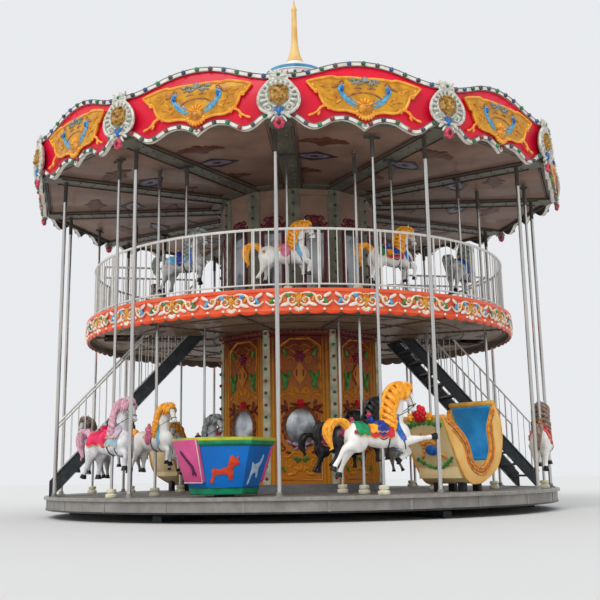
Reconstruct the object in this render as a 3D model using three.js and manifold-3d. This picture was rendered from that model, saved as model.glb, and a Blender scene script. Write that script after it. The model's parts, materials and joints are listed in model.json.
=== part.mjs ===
// Double-deck fairground carousel: a turning platform with jumping horses, spinning tubs and carriages,
// a bulb-lit core, an upper deck reached by two stairs, and a twelve-sided crown.
// Millimetres, +Z up, the axis of turn is Z, the front faces -Y, and the ground is Z = 0.
import * as THREE from "three";
import { mergeVertices } from "three/addons/utils/BufferGeometryUtils.js";
import Module from "manifold-3d";

const wasm = await Module();
wasm.setup();

// Driving dimensions
const bayCount = 12;
const bayAngle = (2 * Math.PI) / bayCount;
const cornerTurn = THREE.MathUtils.degToRad(-2.78); // first crown corner, measured from the front
const seat = 0.3; // gap between pieces that rest on each other
const crownRadius = 4950; // axis to a corner of the crown
const floorTop = 350;
const floorThickness = 50;
const platformRadius = 4540;
const deckTop = floorTop + 3015;
const deckThickness = 60;
const deckRadius = 3860;
const deckBottom = floorTop + 2750; // underside of the lower ceiling
const fasciaRadius = 3900;
const fasciaBottom = floorTop + 2660;
const railRadius = 3790;
const railHeight = 965;
const beamBottom = floorTop + 5300;
const poleRadius = 31;
const poleCircle = 4470;
const poleTurn = THREE.MathUtils.degToRad(-1.2); // the poles stand just beside the corners
const mastRadius = 150;
const mastSides = 48;
const mastBore = 151.5; // the turning pieces run clear of the mast
const mastTop = 8350;
const stairAngles = [-77.8, 102.2].map(THREE.MathUtils.degToRad);
const stairTopRadius = 1850;
const stairFootRadius = 4450;
const wellHalfWidth = 450;
const wellOuterRadius = 3600;
const horseHeight = floorTop + 810; // middle of a jumping horse's body

const group = new THREE.Group();

const paints = {
  steel: new THREE.MeshStandardMaterial({ color: "#b9bcc0", roughness: 0.3, metalness: 1 }),
  darkSteel: new THREE.MeshStandardMaterial({ color: "#3a3d42", roughness: 0.5, metalness: 0.6 }),
  floor: new THREE.MeshStandardMaterial({ color: "#8b8d8c", roughness: 0.6, metalness: 0.3 }),
  rail: new THREE.MeshStandardMaterial({ color: "#d9dcdc", roughness: 0.4, metalness: 0.2 }),
  orange: new THREE.MeshStandardMaterial({ color: "#c9772a", roughness: 0.5, metalness: 0 }),
  cream: new THREE.MeshStandardMaterial({ color: "#d8cfba", roughness: 0.6, metalness: 0 }),
  red: new THREE.MeshStandardMaterial({ color: "#c2273c", roughness: 0.4, metalness: 0 }),
  gold: new THREE.MeshStandardMaterial({ color: "#c9a13b", roughness: 0.35, metalness: 0.5 }),
  white: new THREE.MeshStandardMaterial({ color: "#eceae4", roughness: 0.35, metalness: 0 }),
  blue: new THREE.MeshStandardMaterial({ color: "#0a5fb4", roughness: 0.35, metalness: 0 }),
};

// Solids: three.js makes the shapes, and they are joined and cut here
function asSolid(geometry) {
  const bare = geometry.index ? geometry.toNonIndexed() : geometry.clone();
  bare.deleteAttribute("normal");
  bare.deleteAttribute("uv");
  const merged = mergeVertices(bare, 1e-3);
  const mesh = new wasm.Mesh({
    numProp: 3,
    vertProperties: merged.attributes.position.array,
    triVerts: new Uint32Array(merged.index.array),
  });
  return new wasm.Manifold(mesh);
}

function asGeometry(solid) {
  const mesh = solid.getMesh();
  const geometry = new THREE.BufferGeometry();
  geometry.setAttribute("position", new THREE.BufferAttribute(mesh.vertProperties, 3));
  geometry.setIndex(new THREE.BufferAttribute(mesh.triVerts, 1));
  return geometry;
}

function join(...geometries) {
  return asGeometry(geometries.map(asSolid).reduce((whole, next) => whole.add(next)));
}

function cut(geometry, ...tools) {
  return asGeometry(tools.map(asSolid).reduce((rest, tool) => rest.subtract(tool), asSolid(geometry)));
}

function addPart(name, geometry, paint) {
  const mesh = new THREE.Mesh(geometry, paint);
  mesh.name = name;
  group.add(mesh);
}

// Shapes in a local frame whose -Y points away from the axis
const turned = (geometry, angle) => geometry.clone().rotateZ(angle);
const moved = (geometry, x, y, z) => geometry.clone().translate(x, y, z);
const cornerAngle = (index) => cornerTurn + index * bayAngle;
const onCircle = (radius, angle) => new THREE.Vector2(radius * Math.sin(angle), -radius * Math.cos(angle));

function block(x0, x1, y0, y1, z0, z1) {
  const geometry = new THREE.BoxGeometry(x1 - x0, y1 - y0, z1 - z0);
  return geometry.translate((x0 + x1) / 2, (y0 + y1) / 2, (z0 + z1) / 2);
}

function rod(x, y, z0, z1, radius, sides) {
  const geometry = new THREE.CylinderGeometry(radius, radius, z1 - z0, sides);
  return geometry.rotateX(Math.PI / 2).translate(x, y, (z0 + z1) / 2);
}

function slab(outline, z0, z1, hole) {
  const shape = new THREE.Shape(outline);
  if (hole) shape.holes.push(new THREE.Path(hole));
  return new THREE.ExtrudeGeometry(shape, { depth: z1 - z0, bevelEnabled: false }).translate(0, 0, z0);
}

// A flat board that stands upright: the outline is drawn in X and Z, and its front face is at y0
function board(outline, y0, y1) {
  const shape = new THREE.Shape(outline);
  const geometry = new THREE.ExtrudeGeometry(shape, { depth: y1 - y0, bevelEnabled: false });
  return geometry.rotateX(Math.PI / 2).translate(0, y1, 0);
}

// A flat plate whose outline is drawn in Y and Z
function sidePlate(outline, x0, x1) {
  const shape = new THREE.Shape(outline);
  const geometry = new THREE.ExtrudeGeometry(shape, { depth: x1 - x0, bevelEnabled: false });
  const across = new THREE.Matrix4().makeBasis(
    new THREE.Vector3(0, 1, 0),
    new THREE.Vector3(0, 0, 1),
    new THREE.Vector3(1, 0, 0),
  );
  return geometry.applyMatrix4(across).translate(x0, 0, 0);
}

function polygon(radius, sides, turn) {
  return Array.from({ length: sides }, (_, i) => onCircle(radius, turn + (i * 2 * Math.PI) / sides));
}

function ring(inner, outer, sides, turn, z0, z1) {
  return slab(polygon(outer, sides, turn), z0, z1, polygon(inner, sides, turn));
}

function sector(inner, outer, from, to, steps, z0, z1) {
  const at = (i) => from + ((to - from) * i) / steps;
  const outside = Array.from({ length: steps + 1 }, (_, i) => onCircle(outer, at(i)));
  const inside = Array.from({ length: steps + 1 }, (_, i) => onCircle(inner, at(steps - i)));
  return slab([...outside, ...inside], z0, z1);
}

function lathed(profile, sides, turn = 0) {
  const points = profile.map(([radius, height]) => new THREE.Vector2(radius, height));
  return new THREE.LatheGeometry(points, sides).rotateX(Math.PI / 2).rotateZ(turn);
}

// A tapered limb between two points
function limb(from, to, startRadius, endRadius, sides) {
  const start = new THREE.Vector3(...from);
  const end = new THREE.Vector3(...to);
  const along = end.clone().sub(start);
  const geometry = new THREE.CylinderGeometry(endRadius, startRadius, along.length(), sides);
  const turn = new THREE.Quaternion().setFromUnitVectors(new THREE.Vector3(0, 1, 0), along.normalize());
  return geometry.applyQuaternion(turn).translate(...start.add(end).multiplyScalar(0.5).toArray());
}

// Base: sleepers on the ground and the fixed mast that everything turns about
const sleeperHeight = 90;
const hubPlateTop = 120;

function makeBase() {
  const sleepers = [0, 1, 2].map((i) =>
    turned(block(-4200, 4200, -80, 80, 0, sleeperHeight), (i * Math.PI) / 3),
  );
  addPart("base_frame", join(...sleepers, rod(0, 0, 0, hubPlateTop, 640, 24)), paints.darkSteel);
  addPart("centre_mast", rod(0, 0, hubPlateTop + seat, mastTop, mastRadius, mastSides), paints.steel);
}

// Holes that poles pass through, faceted like the poles
function poleHoles(radius, angles, poleWidth, sides, z0, z1) {
  const hole = rod(0, -radius, z0, z1, poleWidth + rodClearance, sides);
  return angles.map((angle) => turned(hole, angle));
}

// Platform: one round floor with a hub, spokes and a skirt under it
const skirtRadius = 4505;
const skirtBottom = 125;
const roundSteps = 72;
const roundTurn = stairAngles[0]; // every round piece has its facets in line
const rodClearance = 0.5;

function makePlatform() {
  const plateBottom = floorTop - floorThickness;
  const overlap = plateBottom + 10;
  const hub = rod(0, 0, hubPlateTop + seat, overlap, 320, 24);
  const spokes = Array.from({ length: bayCount }, (_, i) =>
    turned(block(-40, 40, -skirtRadius + 20, -260, 150, overlap), cornerAngle(i)),
  );
  const skirt = ring(skirtRadius - 30, skirtRadius, roundSteps, roundTurn, skirtBottom, overlap);
  const plate = slab(polygon(platformRadius, roundSteps, roundTurn), plateBottom, floorTop);
  const bore = rod(0, 0, 0, floorTop + 10, mastBore, mastSides);
  const holes = poleHoles(outerRow, horseAngles, horsePoleRadius, poleSides, 0, floorTop + 10);
  addPart("platform", cut(join(plate, hub, skirt, ...spokes), bore, ...holes), paints.floor);
}

// Core walls: flat faces with a raised light strip at every corner
const stripWidth = 62;
const stripRise = 12;
const coreWallThickness = 60;

function wallPlan(cornerRadius, sides, firstFace, faces) {
  const half = Math.PI / sides;
  const apothem = cornerRadius * Math.cos(half);
  const outside = [];
  const inside = [];
  for (let i = 0; i < faces; i += 1) {
    const centre = firstFace + i * 2 * half;
    const place = (x, y) => new THREE.Vector2(x, -y).rotateAround(new THREE.Vector2(), centre);
    const proud = apothem + stripRise;
    const inner = apothem - coreWallThickness;
    const stripEdge = apothem * Math.tan(half) - stripWidth;
    const leftEnd = i === 0 ? seat : 0;
    const rightEnd = i === faces - 1 ? seat : 0;
    if (i === 0) {
      outside.push(place(-proud * Math.tan(half) + leftEnd, proud));
      inside.push(place(-inner * Math.tan(half) + leftEnd, inner));
    }
    outside.push(place(-stripEdge, proud));
    outside.push(place(-stripEdge, apothem));
    outside.push(place(stripEdge, apothem));
    outside.push(place(stripEdge, proud));
    outside.push(place(proud * Math.tan(half) - rightEnd, proud));
    inside.push(place(inner * Math.tan(half) - rightEnd, inner));
  }
  return [...outside, ...inside.reverse()];
}

const lowerCoreRadius = 1530;
const upperCoreRadius = 1480;

function makeCore() {
  for (let i = 0; i < 2; i += 1) {
    const lower = wallPlan(lowerCoreRadius, 8, -Math.PI / 4 + i * Math.PI, 4);
    addPart("lower_core_wall_" + (i + 1), slab(lower, floorTop + seat, deckBottom + 20), paints.orange);
    const upper = wallPlan(upperCoreRadius, bayCount, cornerAngle(-3.5) + bayAngle + i * Math.PI, 6);
    addPart("upper_core_wall_" + (i + 1), slab(upper, deckTop + seat, beamBottom - seat), paints.orange);
  }
}

// Upper deck: boards on radial joists, a ceiling below, the fascia round its edge
const joistBottom = deckBottom + 20 + seat;

function stairWell(angle, grow, z0, z1) {
  const well = block(
    -wellHalfWidth - grow,
    wellHalfWidth + grow,
    -wellOuterRadius - grow,
    -stairTopRadius + grow,
    z0,
    z1,
  );
  return turned(well, angle);
}

function makeDeck() {
  const wells = stairAngles.map((angle) => stairWell(angle, 0, deckBottom - 10, deckTop + 10));
  for (let i = 0; i < 2; i += 1) {
    const from = stairAngles[0] + i * Math.PI;
    const trim = seat / deckRadius;
    const to = from + Math.PI - 2 * trim;
    const outer = deckRadius - seat;
    const boards = sector(1300, outer, from + trim, to + trim, 36, deckTop - deckThickness, deckTop);
    const joist = block(-30, 30, -deckRadius + 20, -1310, joistBottom, deckTop - deckThickness + 5);
    const joists = Array.from({ length: 6 }, (_, j) => turned(joist, cornerAngle(j - 2 + 6 * i)));
    addPart("deck_floor_" + (i + 1), cut(join(boards, ...joists), ...wells), paints.floor);
  }
  const coreCorner = lowerCoreRadius + stripRise / Math.cos(Math.PI / 8) + 1;
  const coreHole = slab(polygon(coreCorner, 8, Math.PI / 8), 0, deckTop);
  const ceiling = ring(1300, deckRadius - seat, roundSteps, roundTurn, deckBottom, deckBottom + 20);
  const holes = [middleRow, innerRow].flatMap((row) =>
    poleHoles(row, horseAngles, slimPoleRadius, slimPoleSides, deckBottom - 10, deckBottom + 40),
  );
  addPart("deck_ceiling", cut(ceiling, coreHole, ...wells, ...holes), paints.cream);
  const fascia = ring(deckRadius, fasciaRadius, roundSteps, roundTurn, fasciaBottom, deckTop);
  addPart("deck_fascia", fascia, paints.red);
}

// Railing round the deck
const railSteps = 9; // straight stretches in each quarter of the railing
const balustersPerStep = 2;

function makeRailing() {
  const railTop = deckTop + railHeight;
  for (let i = 0; i < 4; i += 1) {
    const from = stairAngles[0] + (i * Math.PI) / 2;
    const trim = 2 / railRadius;
    const arc = (half, z0, z1) =>
      sector(railRadius - half, railRadius + half, from + trim, from + Math.PI / 2 - trim, railSteps, z0, z1);
    const pieces = [arc(22, railTop - 40, railTop), arc(14, deckTop + 70, deckTop + 95)];
    const stepAngle = Math.PI / 2 / railSteps;
    const flat = railRadius * Math.cos(stepAngle / 2);
    const spacing = (2 * railRadius * Math.sin(stepAngle / 2)) / balustersPerStep;
    for (let j = 0; j < railSteps; j += 1) {
      for (let k = 0; k < balustersPerStep; k += 1) {
        const isPost = j % 3 === 1 && k === 0;
        const half = isPost ? 12 : 9;
        const foot = isPost ? deckTop + seat : deckTop + 80;
        const x = (k + 0.5 - balustersPerStep / 2) * spacing;
        const bar = block(x - half, x + half, -flat - half, -flat + half, foot, railTop - 20);
        pieces.push(turned(bar, from + (j + 0.5) * stepAngle));
      }
    }
    addPart("deck_railing_" + (i + 1), join(...pieces), paints.rail);
  }
}

// Stairs: two open flights that climb towards the core through the wells in the deck
const riserCount = 14;
const rise = (deckTop - floorTop) / riserCount;
const going = (stairFootRadius - stairTopRadius) / (riserCount - 1);
const stairSlope = rise / going;
const stairHalfWidth = 420;
const stringerDepth = 260;
const stringerRise = 40;
const treadDepth = 198;
const nosing = (y) => floorTop + rise + (stairFootRadius + y) * stairSlope;

function slopedBar(low, high, y0, y1, x0, x1) {
  const outline = [
    new THREE.Vector2(y0, nosing(y0) + low),
    new THREE.Vector2(y1, nosing(y1) + low),
    new THREE.Vector2(y1, nosing(y1) + high),
    new THREE.Vector2(y0, nosing(y0) + high),
  ];
  return sidePlate(outline, x0, x1);
}

function stairFlight() {
  const top = -stairTopRadius - 1;
  const stringer = [
    new THREE.Vector2(-stairFootRadius, floorTop + seat),
    new THREE.Vector2(-stairFootRadius + (stringerDepth - rise) / stairSlope, floorTop + seat),
    new THREE.Vector2(top, nosing(top) - stringerDepth),
    new THREE.Vector2(top, deckTop),
    new THREE.Vector2(-stairTopRadius - stringerRise / stairSlope, deckTop),
    new THREE.Vector2(-stairFootRadius, nosing(-stairFootRadius) + stringerRise),
  ];
  const pieces = [
    sidePlate(stringer, -stairHalfWidth, -stairHalfWidth + 30),
    sidePlate(stringer, stairHalfWidth - 30, stairHalfWidth),
  ];
  for (let i = 1; i < riserCount; i += 1) {
    const front = -stairFootRadius + (i - 1) * going;
    const treadTop = floorTop + i * rise;
    const half = stairHalfWidth - 20;
    pieces.push(block(-half, half, front, front + treadDepth, treadTop - 35, treadTop));
  }
  return join(...pieces);
}

function stairRail() {
  const railTop = deckTop + railHeight;
  const pieces = [];
  const wellX = wellHalfWidth + 30;
  const guardStart = -wellOuterRadius - 30;
  const guardEnd = -stairTopRadius - 60;
  for (const side of [-1, 1]) {
    const bar = (x, half) => [side * x - half, side * x + half];
    pieces.push(slopedBar(860, 900, -stairFootRadius + 60, guardEnd, ...bar(405, 18)));
    pieces.push(slopedBar(40 + 2 * seat, 75, -stairFootRadius + 60, guardEnd, ...bar(405, 10)));
    for (let i = 0; i < 6; i += 1) {
      const y = -stairFootRadius + 80 + i * 470;
      pieces.push(slopedBar(50, 880, y, y + 22, ...bar(405, 9)));
    }
    pieces.push(block(...bar(wellX, 18), guardStart - 18, guardEnd, railTop - 40, railTop));
    pieces.push(block(...bar(wellX, 12), guardStart, guardEnd, deckTop + 70, deckTop + 95));
    for (let i = 0; i < 6; i += 1) {
      const y = guardStart + (i * (guardEnd - guardStart - 24)) / 5;
      const foot = i % 5 === 0 ? deckTop + seat : deckTop + 80;
      pieces.push(block(...bar(wellX, 10), y, y + 24, foot, railTop - 20));
    }
    const ends = [side * 400, side * wellX].toSorted((a, b) => a - b);
    pieces.push(block(...ends, guardEnd - 30, guardEnd - 1, nosing(guardEnd) + 845, railTop - 5));
  }
  pieces.push(block(-wellX, wellX, guardStart - 18, guardStart + 18, railTop - 40, railTop));
  pieces.push(block(-wellX, wellX, guardStart - 12, guardStart + 12, deckTop + 70, deckTop + 95));
  for (let i = 1; i < 3; i += 1) {
    const x = -wellX + (i * 2 * wellX) / 3;
    pieces.push(block(x - 10, x + 10, guardStart - 10, guardStart + 10, deckTop + 80, railTop - 20));
  }
  return join(...pieces);
}

function makeStairs() {
  stairAngles.forEach((angle, i) => {
    addPart("stair_flight_" + (i + 1), turned(stairFlight(), angle), paints.darkSteel);
    addPart("stair_rail_" + (i + 1), turned(stairRail(), angle), paints.rail);
  });
}

// Canopy: beams and rim, flat ceiling, roof, cupola and spire
const crownThickness = 45;
const crownFront = crownRadius * Math.cos(bayAngle / 2);
const rimOuter = crownFront - crownThickness - seat;
const rimInner = rimOuter - 35;
const rimTop = floorTop + 5950;
const beamDepth = 50;
const flatToCorner = 1 / Math.cos(bayAngle / 2);
const beamHalf = 180;
const beamReach = (rimOuter - 5) * flatToCorner - beamHalf * Math.tan(bayAngle / 2);
const ceilingTop = beamBottom + beamDepth + 20;

function makeCanopy() {
  const beamTop = beamBottom + beamDepth;
  const beams = Array.from({ length: bayCount }, (_, i) =>
    turned(block(-beamHalf, beamHalf, -beamReach, -1480, beamBottom, beamTop + 5), cornerAngle(i)),
  );
  const corner = (radius) => radius * flatToCorner;
  const inner = ring(corner(1440), corner(1640), bayCount, cornerTurn, beamBottom, beamTop + 5);
  const rim = ring(corner(rimInner), corner(rimOuter), bayCount, cornerTurn, beamBottom, rimTop);
  const ceilingRadii = [corner(mastRadius + 60), corner(rimInner + 10)];
  const ceiling = ring(...ceilingRadii, bayCount, cornerTurn, beamTop, ceilingTop);
  const holes = [
    ...poleHoles(outerRow, horseAngles, horsePoleRadius, poleSides, beamBottom - 10, ceilingTop + 10),
    ...poleHoles(upperRow, upperAngles, slimPoleRadius, slimPoleSides, beamBottom - 10, ceilingTop + 10),
  ];
  addPart("canopy", cut(join(ceiling, inner, rim, ...beams), ...holes), paints.cream);
  const roofFoot = corner(rimOuter);
  const roof = lathed(
    [
      [roofFoot - 80, rimTop + seat],
      [roofFoot, rimTop + seat],
      [680, cupolaBottom - seat],
      [600, cupolaBottom - seat],
      [roofFoot - 80, rimTop + seat],
    ],
    bayCount,
    cornerTurn - Math.PI / 2,
  );
  addPart("roof_cone", roof, paints.red);
  const drum = [
    [0, 0],
    [620, 0],
    [620, 200],
    [575, 215],
    [575, 285],
    [520, 300],
    [330, 400],
    [220, 520],
    [0, 520],
  ];
  const cupola = lathed(drum.map(([r, z]) => [r, cupolaBottom + z]), 24);
  addPart("cupola", cut(cupola, rod(0, 0, 0, mastTop + seat, mastBore, mastSides)), paints.white);
  const spire = [
    [0, 0],
    [190, 0],
    [170, 40],
    [118, 180],
    [84, 330],
    [66, 520],
    [56, 760],
    [52, 1060],
    [72, 1130],
    [60, 1200],
    [18, 1280],
    [0, 1430],
  ];
  const spireBottom = cupolaBottom + 520 + seat;
  addPart("spire", lathed(spire.map(([r, z]) => [r, spireBottom + z]), 16), paints.gold);
}

const cupolaBottom = 8170;

// Crown: twelve shaped panels with a shield on each corner. Each list is half an outline, from the middle
// of the piece outwards, in heights above the platform.
const bayHalf = crownRadius * Math.sin(bayAngle / 2);
const crownTop = [
  [0, 6268],
  [250, 6245],
  [490, 6190],
  [715, 6110],
  [945, 6036],
  [bayHalf, 5995],
];
const crownBottom = [
  [0, 5190],
  [120, 5274],
  [221, 5320],
  [340, 5332],
  [480, 5305],
  [604, 5235],
  [745, 5178],
  [885, 5225],
  [1052, 5320],
  [bayHalf, 5400],
];
const shieldHalf = [
  [0, 5130],
  [60, 5190],
  [75, 5260],
  [150, 5330],
  [265, 5430],
  [300, 5560],
  [275, 5690],
  [190, 5800],
  [120, 5870],
  [130, 5990],
  [80, 6060],
  [0, 6080],
];

// Both halves of an outline: across the bottom to the right, then back over the top
function bothHalves(bottom, top) {
  const flip = (points) => points.map(([s, z]) => [-s, z]);
  const right = [...bottom, ...top.toReversed()];
  const outline = [...right, ...flip(top.slice(1)), ...flip(bottom.slice(1)).toReversed()];
  return outline.map(([s, z]) => new THREE.Vector2(s, floorTop + z));
}

function makeCrown() {
  const panel = board(bothHalves(crownBottom, crownTop), -crownFront, -crownFront + crownThickness);
  const shieldLow = shieldHalf.slice(0, 6);
  const shieldHigh = shieldHalf.slice(6).toReversed();
  const shield = board(bothHalves(shieldLow, shieldHigh), -crownRadius - 60, -crownRadius + 20);
  const baysPerPart = 3;
  const cornerBox = block(-330, 330, -crownRadius - 200, -crownRadius + 220, 5000, 7000);
  for (let i = 0; i < bayCount / baysPerPart; i += 1) {
    const first = baysPerPart * i - 1;
    const pieces = [];
    for (let j = 0; j < baysPerPart; j += 1) {
      pieces.push(turned(panel, cornerAngle(first + j + 0.5)));
      pieces.push(turned(shield, cornerAngle(first + j)));
    }
    const next = turned(cornerBox, cornerAngle(first + baysPerPart));
    addPart("crown_" + (i + 1), cut(join(...pieces), next), paints.red);
  }
}

// Poles from the floor to the canopy
function makePoles() {
  for (let i = 0; i < bayCount; i += 1) {
    const pole = rod(0, -poleCircle, floorTop + seat, beamBottom - seat, poleRadius, 10);
    addPart("canopy_pole_" + (i + 1), turned(pole, cornerAngle(i) + poleTurn), paints.steel);
  }
}

// Horses: each is drawn looking along +X, with its pole on the local Z axis
const outerRow = 0.87 * crownRadius;
const middleRow = 0.7 * crownRadius;
const innerRow = 0.49 * crownRadius;
const horsePoleRadius = 24;
const poleSides = 8;
const slimPoleRadius = 21;
const slimPoleSides = 6;
const horseAngles = [15.5, 72.2, 138.6, 195.5, 252.2, 318.6].map(THREE.MathUtils.degToRad);
const neckAndHead = [
  [-20, 100],
  [120, -100],
  [310, -90],
  [325, 190],
  [360, 440],
  [455, 360],
  [535, 370],
  [480, 620],
  [400, 750],
  [230, 780],
  [70, 630],
  [10, 400],
];
// Each leg: its side, then hip, knee and hoof, or only hip and hoof
const gallop = [
  [-1, [250, -40], [520, -5], [760, 25]],
  [1, [250, -40], [430, -190], [250, -310]],
  [-1, [-400, -40], [-590, -140], [-770, -420]],
  [1, [-400, -40], [-520, -250], [-640, -500]],
];
const prance = [
  [-1, [240, -50], [430, -130], [400, -390]],
  [1, [240, -50], [290, -420]],
  [-1, [-400, -40], [-470, -260], [-600, -500]],
  [1, [-400, -40], [-450, -520]],
];
const tail = [
  [-440, 80],
  [-740, 220],
  [-770, -150],
];

function horseBody(size, legs) {
  const outline = neckAndHead.map(([x, z]) => new THREE.Vector2(x, z));
  const pieces = [limb([-480, 0, 30], [300, 0, 10], 165, 165, 6), board(outline, -65, 65)];
  for (const [side, hip, ...joints] of legs) {
    const knee = joints[0];
    pieces.push(limb([hip[0], side * 75, hip[1]], [knee[0], side * 90, knee[1]], 66, 42, 3));
    if (joints.length === 1) continue;
    const hoof = joints[1];
    pieces.push(limb([knee[0], side * 90, knee[1]], [hoof[0], side * 90, hoof[1]], 46, 36, 3));
  }
  tail.slice(1).forEach(([x, z], i) => {
    pieces.push(limb([tail[i][0], 0, tail[i][1]], [x, 0, z], 52, 52, 3));
  });
  return join(...pieces).scale(size, size, size);
}

function makeHorses() {
  const jumperPole = rod(0, 0, 150, ceilingTop + 140, horsePoleRadius, poleSides);
  horseAngles.forEach((angle, i) => {
    const body = moved(horseBody(1, i === 0 ? gallop : prance), 0, 0, horseHeight);
    const horse = moved(join(body, jumperPole), 0, -outerRow, 0);
    addPart("horse_" + (i + 1), turned(horse, angle), paints.white);
  });
  const hangerBottom = deckBottom + 50;
  const hanger = block(-25, 25, -middleRow - 50, -innerRow + 50, hangerBottom, hangerBottom + 40);
  const rows = [
    [middleRow, 0.88, 20],
    [innerRow, 0.82, -60],
  ];
  horseAngles.forEach((angle, i) => {
    const pieces = [hanger];
    for (const [row, size, lift] of rows) {
      pieces.push(moved(horseBody(size, prance), 0, -row, horseHeight + lift));
      pieces.push(rod(0, -row, floorTop + seat, hangerBottom + 20, slimPoleRadius, slimPoleSides));
    }
    addPart("inner_horses_" + (i + 1), turned(join(...pieces), angle), paints.white);
  });
}

// Upper deck horses: pairs on poles that a hanger above the ceiling joins
const upperRow = 3350;
const upperCorners = [-1, 0, 1, 2, 5, 6, 7, 8];
const upperAngles = upperCorners.map(cornerAngle);

function makeUpperHorses() {
  const hangerBottom = ceilingTop + 40;
  const horse = join(
    moved(horseBody(0.82, prance), 0, -upperRow, deckTop + 640),
    rod(0, -upperRow, deckTop + seat, hangerBottom + 20, slimPoleRadius, slimPoleSides),
  );
  for (let i = 0; i < upperAngles.length; i += 2) {
    const [from, to] = upperAngles.slice(i, i + 2);
    const end = 40 / upperRow;
    const top = hangerBottom + 40;
    const hanger = sector(upperRow - 25, upperRow + 25, from - end, to + end, 3, hangerBottom, top);
    const pair = join(hanger, turned(horse, from), turned(horse, to));
    addPart("upper_horses_" + (i / 2 + 1), pair, paints.white);
  }
}

// Tubs: six-sided cups with a bench inside, each on a pivot foot
const tubPlaces = [-17.8, 162.2].map(THREE.MathUtils.degToRad);
const tubCircle = 3720;
const tubTurn = THREE.MathUtils.degToRad(-24.5);
const tubProfile = [
  [0, 0],
  [160, 0],
  [160, 30],
  [475, 30],
  [700, 730],
  [735, 745],
  [760, 760],
  [760, 830],
  [660, 830],
  [540, 440],
  [300, 440],
  [300, 90],
  [0, 90],
];

function makeTubs() {
  const cup = lathed(tubProfile, 6, tubTurn);
  tubPlaces.forEach((angle, i) => {
    const place = onCircle(tubCircle, angle);
    addPart("tub_" + (i + 1), moved(cup, place.x, place.y, floorTop + seat), paints.blue);
  });
}

// Carriages: a curved keel from the stern to the high bow, two sides cut in a U, and two benches
const carriagePlaces = [42.2, 222.2].map(THREE.MathUtils.degToRad);
const carriageCircle = 0.72 * crownRadius;
const carriageHalf = 430;
const keelLine = [
  [-760, 1100],
  [-630, 850],
  [-470, 500],
  [-270, 170],
  [-60, 120],
  [250, 210],
  [590, 430],
  [680, 800],
  [660, 1100],
  [520, 1370],
];
const keelInside = [
  [470, 1330],
  [590, 1080],
  [610, 810],
  [535, 490],
  [220, 280],
  [-50, 190],
  [-220, 230],
  [-400, 540],
  [-560, 880],
  [-680, 1090],
];
const sideInside = [
  [430, 1200],
  [330, 960],
  [360, 620],
  [210, 400],
  [80, 345],
  [-100, 450],
  [-210, 740],
  [-430, 950],
  [-600, 1060],
];

function makeCarriages() {
  const base = floorTop + seat;
  const outline = (...lists) => lists.flat().map(([x, z]) => new THREE.Vector2(x, base + z));
  const inner = carriageHalf - 40;
  const pieces = [
    board(outline(keelLine, sideInside), -carriageHalf, -inner),
    board(outline(keelLine, sideInside), inner, carriageHalf),
    board(outline(keelLine, keelInside), -inner - 10, inner + 10),
    block(-400, -130, -inner - 5, inner + 5, base + 200, base + 430),
    block(290, 540, -inner - 5, inner + 5, base + 300, base + 500),
    block(-180, -90, -300, 300, base, base + 180),
    block(180, 270, -300, 300, base, base + 250),
  ];
  const body = moved(join(...pieces), 0, -carriageCircle, 0);
  carriagePlaces.forEach((angle, i) => {
    addPart("carriage_" + (i + 1), turned(body, angle), paints.gold);
  });
}

makeBase();
makePlatform();
makeCore();
makeDeck();
makeRailing();
makeStairs();
makeCanopy();
makeCrown();
makePoles();
makeHorses();
makeUpperHorses();
makeTubs();
makeCarriages();

export default group;
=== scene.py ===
# Double-deck fairground carousel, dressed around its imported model. Metres, +Z up, the front faces -Y.
import json
import math
import random

import bmesh
import bpy
from mathutils import Matrix, Vector
from mathutils.bvhtree import BVHTree


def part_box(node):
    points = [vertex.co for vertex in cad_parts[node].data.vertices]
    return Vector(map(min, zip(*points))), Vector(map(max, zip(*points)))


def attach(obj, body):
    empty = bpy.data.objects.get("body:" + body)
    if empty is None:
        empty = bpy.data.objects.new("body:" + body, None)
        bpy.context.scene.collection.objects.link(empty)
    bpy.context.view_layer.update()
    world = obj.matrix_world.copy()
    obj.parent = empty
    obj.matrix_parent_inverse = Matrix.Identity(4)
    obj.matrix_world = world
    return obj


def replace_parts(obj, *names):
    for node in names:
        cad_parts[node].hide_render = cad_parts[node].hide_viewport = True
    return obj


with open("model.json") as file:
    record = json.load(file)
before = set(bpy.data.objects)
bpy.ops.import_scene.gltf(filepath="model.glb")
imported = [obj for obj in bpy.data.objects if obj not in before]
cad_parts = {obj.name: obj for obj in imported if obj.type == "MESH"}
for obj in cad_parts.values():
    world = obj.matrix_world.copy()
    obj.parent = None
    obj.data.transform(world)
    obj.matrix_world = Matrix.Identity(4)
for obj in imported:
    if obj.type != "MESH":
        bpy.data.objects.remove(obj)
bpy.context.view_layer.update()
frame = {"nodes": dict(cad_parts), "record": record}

# Sizes that several pieces share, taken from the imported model
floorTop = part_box("platform")[1].z
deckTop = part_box("deck_fascia")[1].z
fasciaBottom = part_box("deck_fascia")[0].z
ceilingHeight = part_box("canopy")[0].z
bayCount = 12
bayAngle = math.tau / bayCount
cornerTurn = math.radians(-2.78)
crownRadius = 4.95
crownFront = crownRadius * math.cos(bayAngle / 2)


def movedBy(x, y, z):
    return Matrix.Translation((x, y, z))


def turnedBy(angle, axis="Z"):
    return Matrix.Rotation(angle, 4, axis)


def scaledBy(x, y, z):
    return Matrix.Diagonal((x, y, z, 1))


def onCircle(radius, angle, height=0.0):
    return Vector((radius * math.sin(angle), -radius * math.cos(angle), height))


def cornerAngle(index):
    return cornerTurn + index * bayAngle


def turnedTo(angle, radius=0.0):
    return turnedBy(angle) @ movedBy(0, -radius, 0)


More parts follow.
